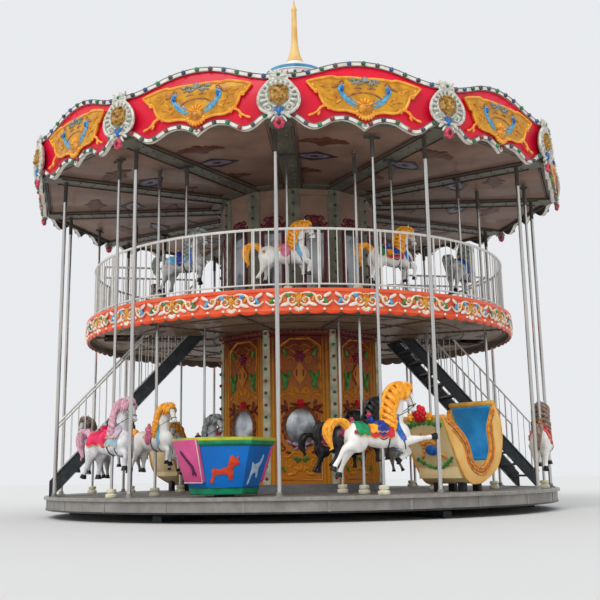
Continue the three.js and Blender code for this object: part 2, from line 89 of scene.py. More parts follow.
# Where the rows of horses stand
poleReach = {"outer": 0.87 * crownRadius, "middle": 0.7 * crownRadius, "inner": 0.49 * crownRadius,
             "upper": 3.35}
horseAngles = [math.radians(a) for a in (15.5, 72.2, 138.6, 195.5, 252.2, 318.6)]
upperAngles = [cornerAngle(i) for i in (-1, 0, 1, 2, 5, 6, 7, 8)]


# Colours are written as sRGB hex and turned to linear here
def linearColour(hexValue):
    channels = [int(hexValue[i:i + 2], 16) / 255 for i in (1, 3, 5)]
    linear = [c / 12.92 if c <= 0.04045 else ((c + 0.055) / 1.055) ** 2.4 for c in channels]
    return (*linear, 1.0)


# Adds one node: its properties, the values of its inputs, and the links into it
def addNode(tree, kind, props=None, values=None, links=None):
    node = tree.nodes.new(kind)
    for key, value in (props or {}).items():
        setattr(node, key, value)
    for key, value in (values or {}).items():
        node.inputs[key].default_value = value
    for key, source in (links or {}).items():
        tree.links.new(source, node.inputs[key])
    return node


def newMaterial(name, roughness=0.5, metallic=0.0, coat=0.0, specular=0.4):
    material = bpy.data.materials.new(name)
    material.use_nodes = True
    tree = material.node_tree
    shader = tree.nodes["Principled BSDF"]
    shader.inputs["Roughness"].default_value = roughness
    shader.inputs["Metallic"].default_value = metallic
    shader.inputs["Coat Weight"].default_value = coat
    shader.inputs["Specular IOR Level"].default_value = specular
    coords = addNode(tree, "ShaderNodeTexCoord")
    return material, tree, shader, coords.outputs["Object"]


# Steps that the finishes share: speckled noise, paint by it, bump by it, gloss by it
def speckle(tree, place, scale, detail=2.0, roughness=0.5):
    values = {"Scale": scale, "Detail": detail, "Roughness": roughness}
    return addNode(tree, "ShaderNodeTexNoise", values=values, links={"Vector": place}).outputs["Fac"]


def paintBy(tree, shader, factor, stops):
    ramp = addNode(tree, "ShaderNodeValToRGB", links={"Fac": factor})
    elements = ramp.color_ramp.elements
    while len(elements) < len(stops):
        elements.new(0.5)
    for element, (place, hexValue) in zip(elements, stops):
        element.position = place
        element.color = linearColour(hexValue)
    tree.links.new(ramp.outputs["Color"], shader.inputs["Base Color"])


def bumpBy(tree, shader, height, strength, distance):
    values = {"Strength": strength, "Distance": distance}
    bump = addNode(tree, "ShaderNodeBump", values=values, links={"Height": height})
    tree.links.new(bump.outputs["Normal"], shader.inputs["Normal"])


def glossBy(tree, shader, factor, low, high):
    values = {"To Min": low, "To Max": high}
    rough = addNode(tree, "ShaderNodeMapRange", values=values, links={"Value": factor})
    tree.links.new(rough.outputs["Result"], shader.inputs["Roughness"])


# Gelcoat and enamel on fibreglass: a glossy hand-painted skin, a little uneven in tone
def gelcoat(name, base, shade, patch=3.0, roughness=0.34, relief=0.25, grain=60.0):
    material, tree, shader, place = newMaterial(name, roughness, coat=0.1, specular=0.28)
    blotch = speckle(tree, place, patch, 6.0)
    paintBy(tree, shader, blotch, [(0.32, shade), (0.62, base)])
    bumpBy(tree, shader, speckle(tree, place, grain, 3.0), relief, 0.004)
    glossBy(tree, shader, blotch, roughness - 0.08, roughness + 0.16)
    return material


# Powder-coated steel: fine orange peel, scuffed a little brighter in places
def powderCoat(name, base, scuffed, roughness=0.42):
    material, tree, shader, place = newMaterial(name, roughness)
    paintBy(tree, shader, speckle(tree, place, 9.0, 8.0, 0.7), [(0.45, base), (0.75, scuffed)])
    bumpBy(tree, shader, speckle(tree, place, 350.0), 0.15, 0.001)
    return material


# Painted chequer plate: crossed ridges, worn brighter where feet pass
def chequerPlate(name, base, worn):
    material, tree, shader, place = newMaterial(name, 0.5)
    paintBy(tree, shader, speckle(tree, place, 2.4, 8.0, 0.65), [(0.4, base), (0.68, worn)])
    ridges = []
    for turn in (math.pi / 4, -math.pi / 4):
        slanted = addNode(tree, "ShaderNodeMapping", values={"Rotation": (0, 0, turn)},
                          links={"Vector": place})
        wave = addNode(tree, "ShaderNodeTexWave", values={"Scale": 9.0},
                       links={"Vector": slanted.outputs["Vector"]})
        ridges.append(wave.outputs["Fac"])
    crossing = addNode(tree, "ShaderNodeMath", {"operation": "MULTIPLY"}, links={0: ridges[0], 1: ridges[1]})
    bumpBy(tree, shader, crossing.outputs["Value"], 0.5, 0.003)
    return material


# Polished stainless tube: bright, with faint lengthways buffing marks
def polishedSteel(name, tint):
    material, tree, shader, place = newMaterial(name, 0.22, metallic=1.0)
    stretched = addNode(tree, "ShaderNodeMapping", values={"Scale": (240.0, 240.0, 3.0)},
                        links={"Vector": place})
    marks = speckle(tree, stretched.outputs["Vector"], 1.0, 4.0)
    glossBy(tree, shader, marks, 0.16, 0.34)
    paintBy(tree, shader, marks, [(0.3, "#aeb1b3"), (0.7, tint)])
    return material


# Moulded lamp cap: clear coloured acrylic over a small bulb
def lampGlass(name, base, glow):
    material, tree, shader, place = newMaterial(name, 0.12, coat=0.6)
    paintBy(tree, shader, speckle(tree, place, 5.0), [(0.4, base), (0.6, glow)])
    return material


# Enamel graded by height, from the platform up to the deck, darker towards the deck
def risingPaint(name, *stops):
    material, tree, shader, place = newMaterial(name, 0.36, coat=0.08, specular=0.25)
    height = addNode(tree, "ShaderNodeSeparateXYZ", links={"Vector": place}).outputs["Z"]
    rise = addNode(tree, "ShaderNodeMapRange", values={"From Min": floorTop, "From Max": deckTop - 0.2},
                   links={"Value": height})
    uneven = addNode(tree, "ShaderNodeMath", {"operation": "MULTIPLY_ADD"}, values={1: 0.34, 2: -0.17},
                     links={0: speckle(tree, place, 5.0, 6.0)})
    total = addNode(tree, "ShaderNodeMath", {"operation": "ADD"},
                    links={0: rise.outputs["Result"], 1: uneven.outputs["Value"]})
    paintBy(tree, shader, total.outputs["Value"], stops)
    bumpBy(tree, shader, speckle(tree, place, 45.0, 4.0), 0.5, 0.004)
    return material


# Silvered glass, a little dusty
def mirror(name, tint, roughness):
    material, tree, shader, place = newMaterial(name, roughness, metallic=1.0)
    paintBy(tree, shader, speckle(tree, place, 4.0, 5.0), [(0.35, "#8f9498"), (0.65, tint)])
    return material


# Painted fibreglass: main colour, shade, blotches to a metre, roughness, relief, grain
gelcoats = {
    "crownRed": ("#f01038", "#d20a2e", 1.6),
    "trimWhite": ("#f0ede4", "#cfcabb", 9.0),
    "cartoucheGold": ("#dca022", "#b8761a", 7.0, 0.34, 0.6, 30.0),
    "cartoucheEdge": ("#f8b545", "#e88f2a", 8.0),
    "featherBlue": ("#5cb6de", "#3680b0", 20.0),
    "crestSilver": ("#a3a79c", "#5c5f52", 24.0),
    "shieldSilver": ("#e0ded4", "#a8a89a", 18.0, 0.34, 0.6),
    "shieldGrey": ("#a9ab9f", "#6c7268", 18.0, 0.34, 0.4),
    "maskGold": ("#c99a48", "#6e4a1c", 22.0, 0.34, 0.6),
    "leafBlue": ("#3a7fcb", "#27548e", 20.0),
    "dropPink": ("#e04a68", "#a82a40", 20.0),
    "carvedGold": ("#e8a238", "#a8641c", 16.0, 0.34, 0.5, 40.0),
    "carvedBrown": ("#b87a52", "#7c4630", 16.0),
    "featherDeep": ("#2f74c4", "#1d4a8c", 20.0),
    "dropDark": ("#7a1f30", "#4a1220", 20.0),
    "shadowLine": ("#8b8f8a", "#6a4a50", 6.0),
    # Ceiling panels and beams: darkened below their own tone, painted shade under the crown
    "ceilingPanel": ("#8c6e5e", "#6c5244", 1.4, 0.6, 0.1),
    "ceilingBeam": ("#6a6657", "#504d40", 2.2, 0.55, 0.15),
    "ceilingDark": ("#4a2e2a", "#352420", 5.0, 0.6),
    "ceilingViolet": ("#2c1c2c", "#1c1a1c", 3.0, 0.55),
    "ceilingPale": ("#7c6c78", "#5c4a58", 9.0, 0.5),
    "ceilingRust": ("#5e3322", "#452018", 6.0, 0.55),
    "cupolaWhite": ("#eef0ee", "#cfd6d4", 5.0),
    "cupolaBlue": ("#5aa6cc", "#3f82b0", 6.0),
    "spireGold": ("#ecca80", "#dca860", 4.0, 0.3),
    "roofRed": ("#c8283e", "#a81e32", 1.2, 0.45, 0.2),
    "fasciaOrange": ("#ee6a44", "#e0532c", 2.5),
    "fasciaRed": ("#f0501c", "#d63a10", 3.0),
    "fasciaWhite": ("#f4e9dc", "#e2c8b4", 12.0),
    "leafGreen": ("#4f9a44", "#2c6a30", 14.0),
    "undersideTrim": ("#684636", "#463024", 4.0, 0.6),
    "undersideRelief": ("#7a7262", "#565044", 8.0, 0.6),
    "underside": ("#947c66", "#745f4c", 1.5, 0.6, 0.15),
    "coatWhite": ("#f7f5f1", "#dcd9d2", 5.0, 0.28),
    "coatPale": ("#e4e2e2", "#b9b7ba", 9.0, 0.3),
    "coatGrey": ("#c3c3c4", "#8f9092", 9.0, 0.3),
    "coatBlack": ("#26232a", "#121013", 6.0, 0.25),
    "coatCream": ("#efdfc0", "#cdb58c", 6.0, 0.3),
    "maneOrange": ("#ffb63a", "#e08a1e", 22.0),
    "manePink": ("#e2b0bc", "#b07c8e", 22.0),
    "maneBrown": ("#a08878", "#6a5044", 22.0),
    "maneBlack": ("#2c2c2a", "#151514", 22.0),
    "maneGrey": ("#9aa09c", "#5e6460", 22.0),
    "hoofBlack": ("#1d1b1c", "#0e0d0e", 3.0, 0.3),
    "eyeDark": ("#171213", "#0c090a", 3.0, 0.12),
    "seatBlue": ("#2742a0", "#16245c", 8.0),
    "seatPink": ("#e88aa6", "#b8587a", 8.0),
    "seatRose": ("#f02a60", "#c01244", 8.0),
    "seatRed": ("#d42632", "#96121e", 8.0),
    "clothGreen": ("#1fa368", "#0c6a44", 10.0),
    "clothRed": ("#e0363c", "#ab1430", 10.0),
    "clothYellow": ("#ffb92a", "#de8614", 10.0),
    "clothPale": ("#a9c9d6", "#7d9fb0", 9.0),
    "clothLilac": ("#cbb7c4", "#a08ca0", 9.0),
    "clothSky": ("#7cc6e6", "#4896c0", 10.0),
    "clothMagenta": ("#a8246c", "#651040", 10.0),
    "braidGold": ("#f0b848", "#b4761c", 30.0),
    "strapDark": ("#37373c", "#1c1c20", 12.0),
    "strapBrown": ("#6a3c22", "#40220f", 12.0),
    "sleeveCream": ("#eee9cf", "#c9c2a2", 14.0),
    "borderOrange": ("#e89a2c", "#b8661a", 8.0),
    "stripCream": ("#dcd9bc", "#a9aa90", 7.0),
    "corniceRed": ("#7a2c1e", "#4c1a12", 8.0),
    "wreathBrown": ("#9c5a34", "#6a3620", 14.0),
    "wreathRed": ("#8c3a20", "#5e2014", 14.0),
    "lilacPaint": ("#c9b2d6", "#9a82ac", 14.0),
    "bloomPurple": ("#8a2040", "#5a1430", 14.0),
    "upperPaint": ("#a07e6c", "#7c6052", 1.6, 0.5),
    "upperStrip": ("#8a8874", "#68665a", 5.0, 0.5),
    "archRed": ("#7c2430", "#521620", 8.0),
    "tubBlue": ("#0072cc", "#0064b6", 2.5),
    "tubGreen": ("#16a070", "#0c7c54", 6.0),
    "tubDeepGreen": ("#0a5c46", "#06402f", 6.0),
    "tubLip": ("#c8c434", "#8fae2c", 4.0),
    "tubInside": ("#d8e0a0", "#b4c27c", 3.0),
    "tubPink": ("#e05a94", "#cc4882", 3.0),
    "figurePurple": ("#5a1450", "#3a0c38", 12.0),
    "figureOrange": ("#e04a1e", "#bc3016", 12.0),
    "figureWhite": ("#cfe2f2", "#9cc0e0", 12.0),
    "wheelPink": ("#e0a8a0", "#c08880", 8.0),
    "hullCream": ("#f2d8a4", "#d6bc84", 2.2),
    "hullSide": ("#f4c474", "#dca654", 2.2),
    # Backs facing the axis: partly their own dull paint, partly painted shade
    "crownBack": ("#66424a", "#4c2e36", 3.0, 0.6),
    "stripBack": ("#5e6054", "#46483e", 6.0, 0.6),
    "fasciaBack": ("#807a70", "#5d5850", 4.0, 0.6),
    "hullGold": ("#eab458", "#d0943c", 6.0),
    "scrollOrange": ("#ec9a34", "#b8661c", 14.0),
    "seatCyan": ("#38a2e2", "#2084c4", 3.0),
    "roseRed": ("#e01828", "#a80c1c", 14.0),
}
# Coated steel: main colour, scuffed colour, roughness
powderCoats = {
    "ironDark": ("#3c3a38", "#5a5650"),
    # Dark bands on the pole tops: painted shade and painted reflection of the dark ceiling
    "sleeveDark": ("#4a4642", "#625c56"),
    "edgeSteel": ("#84807a", "#a09c96", 0.36),
    "treadSteel": ("#8d9196", "#aeb2b6", 0.34),
    "railWhite": ("#d4d0c9", "#ebe8e2"),
    "floorPlate": ("#6e6f73", "#8a8c90", 0.5),
    "stairDark": ("#20262b", "#3c444a"),
    "baseSteel": ("#2e3236", "#50565a"),
}
# Lamp caps: main colour, lit colour
lampGlasses = {
    "bulbWarm": ("#f6e4c4", "#fff6e6"),
    "bulbDark": ("#3a3436", "#5a5254"),
    "bulbGreen": ("#1a6440", "#2c8656"),
    "bulbRed": ("#6e1f26", "#a83038"),
    "bulbBlue": ("#28406a", "#3a5c8c"),
}
# Enamel by height: stops from the platform up to the deck
risingPaints = {
    "corePaint": ((0.0, "#c47400"), (0.42, "#cc7c06"), (0.66, "#ac5c08"), (0.9, "#66220a")),
    "pilasterGold": ((0.0, "#d88c18"), (0.5, "#dc9418"), (0.8, "#b06a14"), (0.98, "#6a3410")),
    "arabesqueGold": ((0.0, "#d88c10"), (0.5, "#de9414"), (0.8, "#b46410"), (0.98, "#6e2e0e")),
}
# Glass: tint, roughness
mirrors = {
    "mirrorGlass": ("#dfe3e6", 0.34),
    "mirrorDim": ("#8a8684", 0.16),
}
materials = {"deckPlate": chequerPlate("chequerPlateDeck", "#7a7672", "#96928c"),
             "steel": polishedSteel("polishedSteelPole", "#d9d3cb")}
for finish, make, rows in (("gelcoat", gelcoat, gelcoats), ("powderCoat", powderCoat, powderCoats),
                           ("lampGlass", lampGlass, lampGlasses), ("risingPaint", risingPaint, risingPaints),
                           ("silveredGlass", mirror, mirrors)):
    for key, values in rows.items():
        materials[key] = make(finish + key[0].upper() + key[1:], *values)
print("materials ready")


# Camera at the photograph's place: focal length and principal point come from the object's own outline
viewPoint = {"back": 17.992, "height": 0.666, "pitch": 12.628, "yaw": 0.12, "roll": -0.978,
             "focalPixels": 960.3, "framePixels": 600.0, "centreRow": 257.87, "sensor": 36.0}


def placeCamera():
    data = bpy.data.cameras.new("viewCamera")
    data.sensor_width = viewPoint["sensor"]
    data.lens = viewPoint["focalPixels"] / viewPoint["framePixels"] * viewPoint["sensor"]
    data.shift_y = (viewPoint["centreRow"] - viewPoint["framePixels"] / 2) / viewPoint["framePixels"]
    data.clip_end = 300.0
    camera = bpy.data.objects.new("viewCamera", data)
    bpy.context.scene.collection.objects.link(camera)
    level = turnedBy(math.radians(-viewPoint["yaw"]))
    tilt = turnedBy(math.radians(90 + viewPoint["pitch"]), "X")
    roll = turnedBy(math.radians(viewPoint["roll"]))
    camera.matrix_world = movedBy(0, -viewPoint["back"], viewPoint["height"]) @ level @ tilt @ roll
    bpy.context.scene.camera = camera


placeCamera()


# Soft overcast studio: pale world, one wide key light, a pale floor
studio = {"sky": "#eef0f3", "skyStrength": 0.95, "floorSize": 140.0, "floorColour": "#dcdcda"}


def lightStudio():
    world = bpy.data.worlds.new("paleSky")
    world.use_nodes = True
    background = world.node_tree.nodes["Background"]
    background.inputs["Color"].default_value = linearColour(studio["sky"])
    background.inputs["Strength"].default_value = studio["skyStrength"]
    bpy.context.scene.world = world
    bpy.context.scene.view_settings.view_transform = "Standard"
    sun = bpy.data.lights.new("softKey", "SUN")
    sun.energy = 1.3
    sun.angle = math.radians(35)
    lamp = bpy.data.objects.new("softKey", sun)
    lamp.rotation_euler = (math.radians(48), 0, math.radians(-28))
    bpy.context.scene.collection.objects.link(lamp)
    bpy.ops.mesh.primitive_plane_add(size=studio["floorSize"], location=(0, 0, -0.001))
    floor = bpy.context.object
    floor.name = "studioFloor"
    material, tree, shader, place = newMaterial("studioFloor", 0.9)
    shader.inputs["Base Color"].default_value = linearColour(studio["floorColour"])
    floor.data.materials.append(material)


lightStudio()
print("camera and light ready")


# Small mesh tools
def linkMesh(mesh, name, material=None):
    obj = bpy.data.objects.new(name, mesh)
    bpy.context.scene.collection.objects.link(obj)
    if material:
        mesh.materials.clear()
        mesh.materials.append(materials[material])
    return obj


def removeObject(obj):
    data = obj.data
    bpy.data.objects.remove(obj)
    if data and not data.users:
        (bpy.data.meshes if isinstance(data, bpy.types.Mesh) else bpy.data.curves).remove(data)


def meshFrom(kit, name):
    mesh = bpy.data.meshes.new(name)
    kit.to_mesh(mesh)
    kit.free()
    return mesh


def tidyMesh(mesh):
    kit = bmesh.new()
    kit.from_mesh(mesh)
    bmesh.ops.remove_doubles(kit, verts=kit.verts, dist=1e-5)
    bmesh.ops.recalc_face_normals(kit, faces=kit.faces)
    kit.to_mesh(mesh)
    kit.free()
    return mesh


def smoothly(mesh, angle=50):
    mesh.polygons.foreach_set("use_smooth", [True] * len(mesh.polygons))
    mesh.set_sharp_from_angle(angle=math.radians(angle))
    return mesh


# The evaluated mesh of an object, which is then removed
def bakedMesh(obj):
    bpy.context.view_layer.update()
    result = bpy.data.meshes.new_from_object(obj.evaluated_get(bpy.context.evaluated_depsgraph_get()))
    removeObject(obj)
    return result


# Catmull-Rom curve through points; a list of such runs meets at its corners
def smoothRun(points, steps=6):
    points = [Vector(p) for p in points]
    ends = [2 * points[0] - points[1], *points, 2 * points[-1] - points[-2]]
    result = []
    for i in range(len(points) - 1):
        a, b, c, d = ends[i:i + 4]
        for j in range(steps):
            t = j / steps
            result.append(0.5 * ((2 * b) + (c - a) * t + (2 * a - 5 * b + 4 * c - d) * t * t
                                 + (3 * b - a - 3 * c + d) * t ** 3))
    return result + [points[-1]]


def mirrored(points):
    return [Vector((-p[0], *p[1:])) for p in reversed(points)]


# Points of X and Z set at one depth, and points given as pairs
def runAt(run, y, drop=0.0):
    return [(p.x, y, p.y - drop) for p in run]


def flatPoints(pairs):
    return [Vector(p) for p in pairs]


def curveMesh(curve, runs, cyclic, radii=1.0):
    for run in runs:
        spline = curve.splines.new("POLY")
        spline.points.add(len(run) - 1)
        for i, (point, place) in enumerate(zip(spline.points, run)):
            point.co = (*place, 1)
            point.radius = radii[i] if isinstance(radii, (list, tuple)) else radii
        spline.use_cyclic_u = cyclic
    obj = bpy.data.objects.new("curve", curve)
    mesh = bpy.data.meshes.new_from_object(obj)
    removeObject(obj)
    return mesh


# A board cut to outlines in X and Z, rounded at its edges, its front at y = -depth
def cutBoard(outlines, depth, bevel=0.0, resolution=2):
    curve = bpy.data.curves.new("outline", "CURVE")
    curve.dimensions = "2D"
    curve.fill_mode = "BOTH"
    curve.extrude = depth / 2 - bevel
    curve.bevel_depth = bevel
    curve.bevel_resolution = resolution
    curve.offset = -bevel
    mesh = curveMesh(curve, [[(p[0], p[1], 0) for p in outline] for outline in outlines], True)
    mesh.transform(movedBy(0, -depth / 2, 0) @ turnedBy(math.pi / 2, "X"))
    return tidyMesh(mesh)


# A rod along 3-D points, with a radius for each point
def rodAlong(points, radii, sides=8, cyclic=False):
    curve = bpy.data.curves.new("rod", "CURVE")
    curve.dimensions = "3D"
    curve.bevel_depth = 1.0
    curve.bevel_resolution = max(0, sides // 4 - 1) if sides % 4 == 0 else 1
    curve.use_fill_caps = True
    return tidyMesh(curveMesh(curve, [points], cyclic, radii))


# A profile of (radius, height) turned about the Z axis
def turnedProfile(profile, steps=32):
    kit = bmesh.new()
    turns = [math.tau * i / steps for i in range(steps)]
    rings = []
    for radius, height in profile:
        if radius < 1e-6:
            rings.append([kit.verts.new((0, 0, height))])
        else:
            rings.append([kit.verts.new((radius * math.cos(a), radius * math.sin(a), height)) for a in turns])
    for low, high in zip(rings, rings[1:]):
        for i in range(steps):
            j = (i + 1) % steps
            corners = [low[i % len(low)], low[j % len(low)], high[j % len(high)], high[i % len(high)]]
            unique = list(dict.fromkeys(corners))
            if len(unique) > 2:
                kit.faces.new(unique)
    for ends in (rings[0], rings[-1]):
        if len(ends) > 2:
            kit.faces.new(ends)
    return tidyMesh(meshFrom(kit, "turned"))


def ellipsoid(centre, size, subdivisions=3, turn=None):
    kit = bmesh.new()
    bmesh.ops.create_icosphere(kit, subdivisions=subdivisions, radius=1.0)
    mesh = meshFrom(kit, "ellipsoid")
    mesh.transform(Matrix.Translation(centre) @ (turn or Matrix()) @ scaledBy(*size))
    return mesh


def boxMesh(low, high, bevel=0.0):
    kit = bmesh.new()
    bmesh.ops.create_cube(kit, size=1.0)
    size = Vector(high) - Vector(low)
    middle = (Vector(high) + Vector(low)) / 2
    bmesh.ops.transform(kit, matrix=Matrix.Translation(middle) @ scaledBy(*size), verts=kit.verts)
    if bevel:
        bmesh.ops.bevel(kit, geom=kit.edges[:], offset=bevel, segments=2, affect="EDGES", profile=0.6)
    return meshFrom(kit, "box")


# Joins meshes into one, each moved by its own matrix
def joinMeshes(parts):
    kit = bmesh.new()
    for part in parts:
        mesh, matrix = part if isinstance(part, tuple) else (part, None)
        copy = mesh.copy()
        if matrix:
            copy.transform(matrix)
            if matrix.determinant() < 0:
                copy.flip_normals()
        kit.from_mesh(copy)
        bpy.data.meshes.remove(copy)
    return meshFrom(kit, "joined")


# Geometry Nodes: a tree with its inputs, and the copies of an object that it makes real and finishes
def newTree(name, sockets):
    tree = bpy.data.node_groups.new(name, "GeometryNodeTree")
    for socket, kind in sockets.items():
        tree.interface.new_socket(socket, in_out="INPUT", socket_type="NodeSocket" + kind)
    tree.interface.new_socket("Geometry", in_out="OUTPUT", socket_type="NodeSocketGeometry")
    return tree, addNode(tree, "NodeGroupInput").outputs


def finishTree(tree, given, piece, links):
    source = addNode(tree, "GeometryNodeObjectInfo", links={"Object": piece})
    copies = addNode(tree, "GeometryNodeInstanceOnPoints",
                     links={"Instance": source.outputs["Geometry"], **links})
    real = addNode(tree, "GeometryNodeRealizeInstances", links={"Geometry": copies.outputs["Instances"]})
    finish = addNode(tree, "GeometryNodeSetMaterial",
                     links={"Geometry": real.outputs["Geometry"], "Material": given["Finish"]})
    addNode(tree, "NodeGroupOutput", links={"Geometry": finish.outputs["Geometry"]})
    return tree


# One piece repeated about the axis of turn
def buildAroundTree():
    tree, given = newTree("aroundTheAxis", {
        "Piece": "Object", "Count": "Int", "First angle": "Float", "Step angle": "Float",
        "Finish": "Material"})
    points = addNode(tree, "GeometryNodeMeshLine", values={"Offset": (0, 0, 0)},
                     links={"Count": given["Count"]})
    index = addNode(tree, "GeometryNodeInputIndex")
    turn = addNode(tree, "ShaderNodeMath", {"operation": "MULTIPLY_ADD"},
                   links={0: index.outputs["Index"], 1: given["Step angle"], 2: given["First angle"]})
    angles = addNode(tree, "ShaderNodeCombineXYZ", links={"Z": turn.outputs["Value"]})
    return finishTree(tree, given, given["Piece"], {
        "Points": points.outputs["Mesh"], "Rotation": angles.outputs["Vector"]})


# Small caps set along a line at a spacing, one in every few of a colour
def buildBulbTree():
    tree, given = newTree("capsAlongLine", {
        "Line": "Geometry", "Cap": "Object", "Spacing": "Float", "Period": "Int", "Phase": "Int",
        "Finish": "Material"})
    curve = addNode(tree, "GeometryNodeMeshToCurve", links={"Mesh": given["Line"]})
    spread = addNode(tree, "GeometryNodeResampleCurve", {"mode": "LENGTH"},
                     links={"Curve": curve.outputs["Curve"], "Length": given["Spacing"]})
    index = addNode(tree, "GeometryNodeInputIndex")
    place = addNode(tree, "ShaderNodeMath", {"operation": "MODULO"},
                    links={0: index.outputs["Index"], 1: given["Period"]})
    chosen = addNode(tree, "FunctionNodeCompare", {"data_type": "FLOAT", "operation": "EQUAL"},
                     links={"A": place.outputs["Value"], "B": given["Phase"]})
    return finishTree(tree, given, given["Cap"], {
        "Points": spread.outputs["Curve"], "Selection": chosen.outputs["Result"]})


aroundTree = buildAroundTree()
bulbTree = buildBulbTree()


# Runs a tree on a mesh and keeps the plain result
def runTree(tree, mesh, inputs, name):
    obj = linkMesh(mesh, name)
    modifier = obj.modifiers.new("nodes", "NODES")
    modifier.node_group = tree
    sockets = {item.name: item.identifier for item in tree.interface.items_tree if item.in_out == "INPUT"}
    for key, value in inputs.items():
        modifier[sockets[key]] = value
    return bakedMesh(obj)


def place(mesh, name, material, body="turntable", smooth=40):
    if smooth is not None:
        smoothly(mesh, smooth)
    obj = linkMesh(mesh, name, material)
    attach(obj, body)
    return obj


def aroundAxis(mesh, name, material, count=bayCount, first=0.0, step=bayAngle, smooth=50):
    if smooth is not None:
        smoothly(mesh, smooth)
    source = linkMesh(mesh, name + "_one")
    result = runTree(aroundTree, bpy.data.meshes.new(name), {
        "Piece": source, "Count": count, "First angle": first, "Step angle": step,
        "Finish": materials[material]}, name)
    removeObject(source)
    return place(result, name, material, smooth=None)


def roundTheBays(mesh, name, material, offset=0.5):
    return aroundAxis(mesh, name, material, first=cornerAngle(offset))


def atCorners(mesh, name, material):
    return roundTheBays(mesh, name, material, 0)


def lineMesh(points):
    mesh = bpy.data.meshes.new("line")
    mesh.from_pydata([tuple(p) for p in points], [(i, i + 1) for i in range(len(points) - 1)], [])
    return mesh


capShape = turnedProfile([(0, 0), (0.03, 0), (0.03, 0.01), (0.024, 0.028), (0, 0.042)], 8)
smallCap = turnedProfile([(0, 0), (0.03, 0), (0.026, 0.024), (0, 0.042)], 6)


def capsAlong(points, spacing, period, phase, material, name, facing=None, shape=capShape):
    mesh = shape.copy()
    mesh.transform(facing or turnedBy(math.pi / 2, "X"))
    cap = linkMesh(mesh, "cap")
    result = runTree(bulbTree, lineMesh(points), {
        "Cap": cap, "Spacing": spacing, "Period": period, "Phase": phase,
        "Finish": materials[material]}, name)
    removeObject(cap)
    return result


# Relief: leaves, scrolls and beads drawn in X and Z, standing out towards -Y
def leaf(x, z, angle, length, width, rise, detail=2):
    return ellipsoid((x, 0, z), (length / 2, rise, width / 2), detail, turnedBy(-math.radians(angle), "Y"))


def petals(x, z, radius, start, end, count, length, width, rise):
    result = []
    for i in range(count):
        angle = math.radians(start + (end - start) * i / max(count - 1, 1))
        result.append(leaf(x + radius * math.cos(angle), z + radius * math.sin(angle), math.degrees(angle),
                           length, width, rise))
    return result


def scroll(x, z, start, turns, outer, inner, thickness, steps=12):
    points = []
    radii = []
    for i in range(steps + 1):
        t = i / steps
        angle = math.radians(start) + turns * math.tau * t
        radius = outer + (inner - outer) * t
        points.append((x + radius * math.cos(angle), 0, z + radius * math.sin(angle)))
        radii.append(thickness * (1 - 0.45 * t))
    return rodAlong(points, radii)


def strand(points, widest, ends=0.4, steps=4):
    run = smoothRun([(x, 0, z) for x, z in points], steps)
    last = len(run) - 1
    radii = [widest * (ends + (1 - ends) * math.sin(math.pi * i / last)) for i in range(last + 1)]
    return rodAlong(run, radii)


def bothSides(parts):
    flip = scaledBy(-1, 1, 1)
    return [*parts, *[(part, flip) for part in parts]]


# Drops the faces that a small form can spare
def thinned(mesh, ratio):
    obj = linkMesh(mesh, "thinned")
    obj.modifiers.new("thin", "DECIMATE").ratio = ratio
    return bakedMesh(obj)


# Sets relief on a front face: flattens it and moves it to its place
def setRelief(parts, out, lift=floorTop, flatten=1.0):
    mesh = thinned(joinMeshes(parts), 0.6)
    mesh.transform(movedBy(0, -out, lift) @ scaledBy(1, flatten, 1))
    return mesh


# Crown: one bay is drawn in X and Z, in heights above the platform, and repeated round the ride
crown = {"depth": 0.045, "strip": 0.064, "stripRise": 0.022, "bulbSpacing": 0.21, "boardDepth": 0.045,
         "rimRadius": 0.021, "capTurn": turnedBy(math.pi / 2, "X") @ Matrix.Scale(1.25, 4)}
crownTop = [(0, 6.268), (0.25, 6.245), (0.49, 6.19), (0.715, 6.11), (0.945, 6.036), (1.1, 6.005),
            (1.281, 5.995)]
crownLow = [(0, 5.19), (0.1, 5.262), (0.22, 5.318), (0.34, 5.332), (0.48, 5.305), (0.61, 5.232),
            (0.75, 5.178), (0.89, 5.21), (1.05, 5.32), (1.281, 5.42)]
wingTop = [(0, 5.985), (0.16, 5.99), (0.3, 5.985), (0.42, 5.972), (0.5, 5.985), (0.66, 5.95), (0.87, 5.885)]
wingLow = [(0, 5.4), (0.2, 5.455), (0.3, 5.472), (0.44, 5.468), (0.54, 5.5), (0.62, 5.56), (0.67, 5.65),
           (0.7, 5.735), (0.745, 5.73), (0.762, 5.765), (0.8, 5.8), (0.87, 5.885)]


def curveOf(points):
    return smoothRun([(s, z + floorTop) for s, z in points], 4)


def wholeLine(points):
    half = curveOf(points)
    return mirrored(half)[:-1] + half


def closedBetween(low, top):
    return low[:-1] + top[:0:-1]


def offsetRun(points, distance):
    result = []
    for i, point in enumerate(points):
        before = points[max(i - 1, 0)]
        after = points[min(i + 1, len(points) - 1)]
        along = (after - before).normalized()
        result.append(point + Vector((-along.y, along.x)) * distance)
    return result


# Gives the faces that look at the axis a dull darker paint of their own: partly their own paint, partly
# painted shade on the side away from the sky
def paintBack(obj, material):
    obj.data.materials.append(materials[material])
    for face in obj.data.polygons:
        away = Vector(face.center[:2]).normalized()
        if Vector(face.normal[:2]).dot(away) < -0.6:
            face.material_index = 1
    return obj


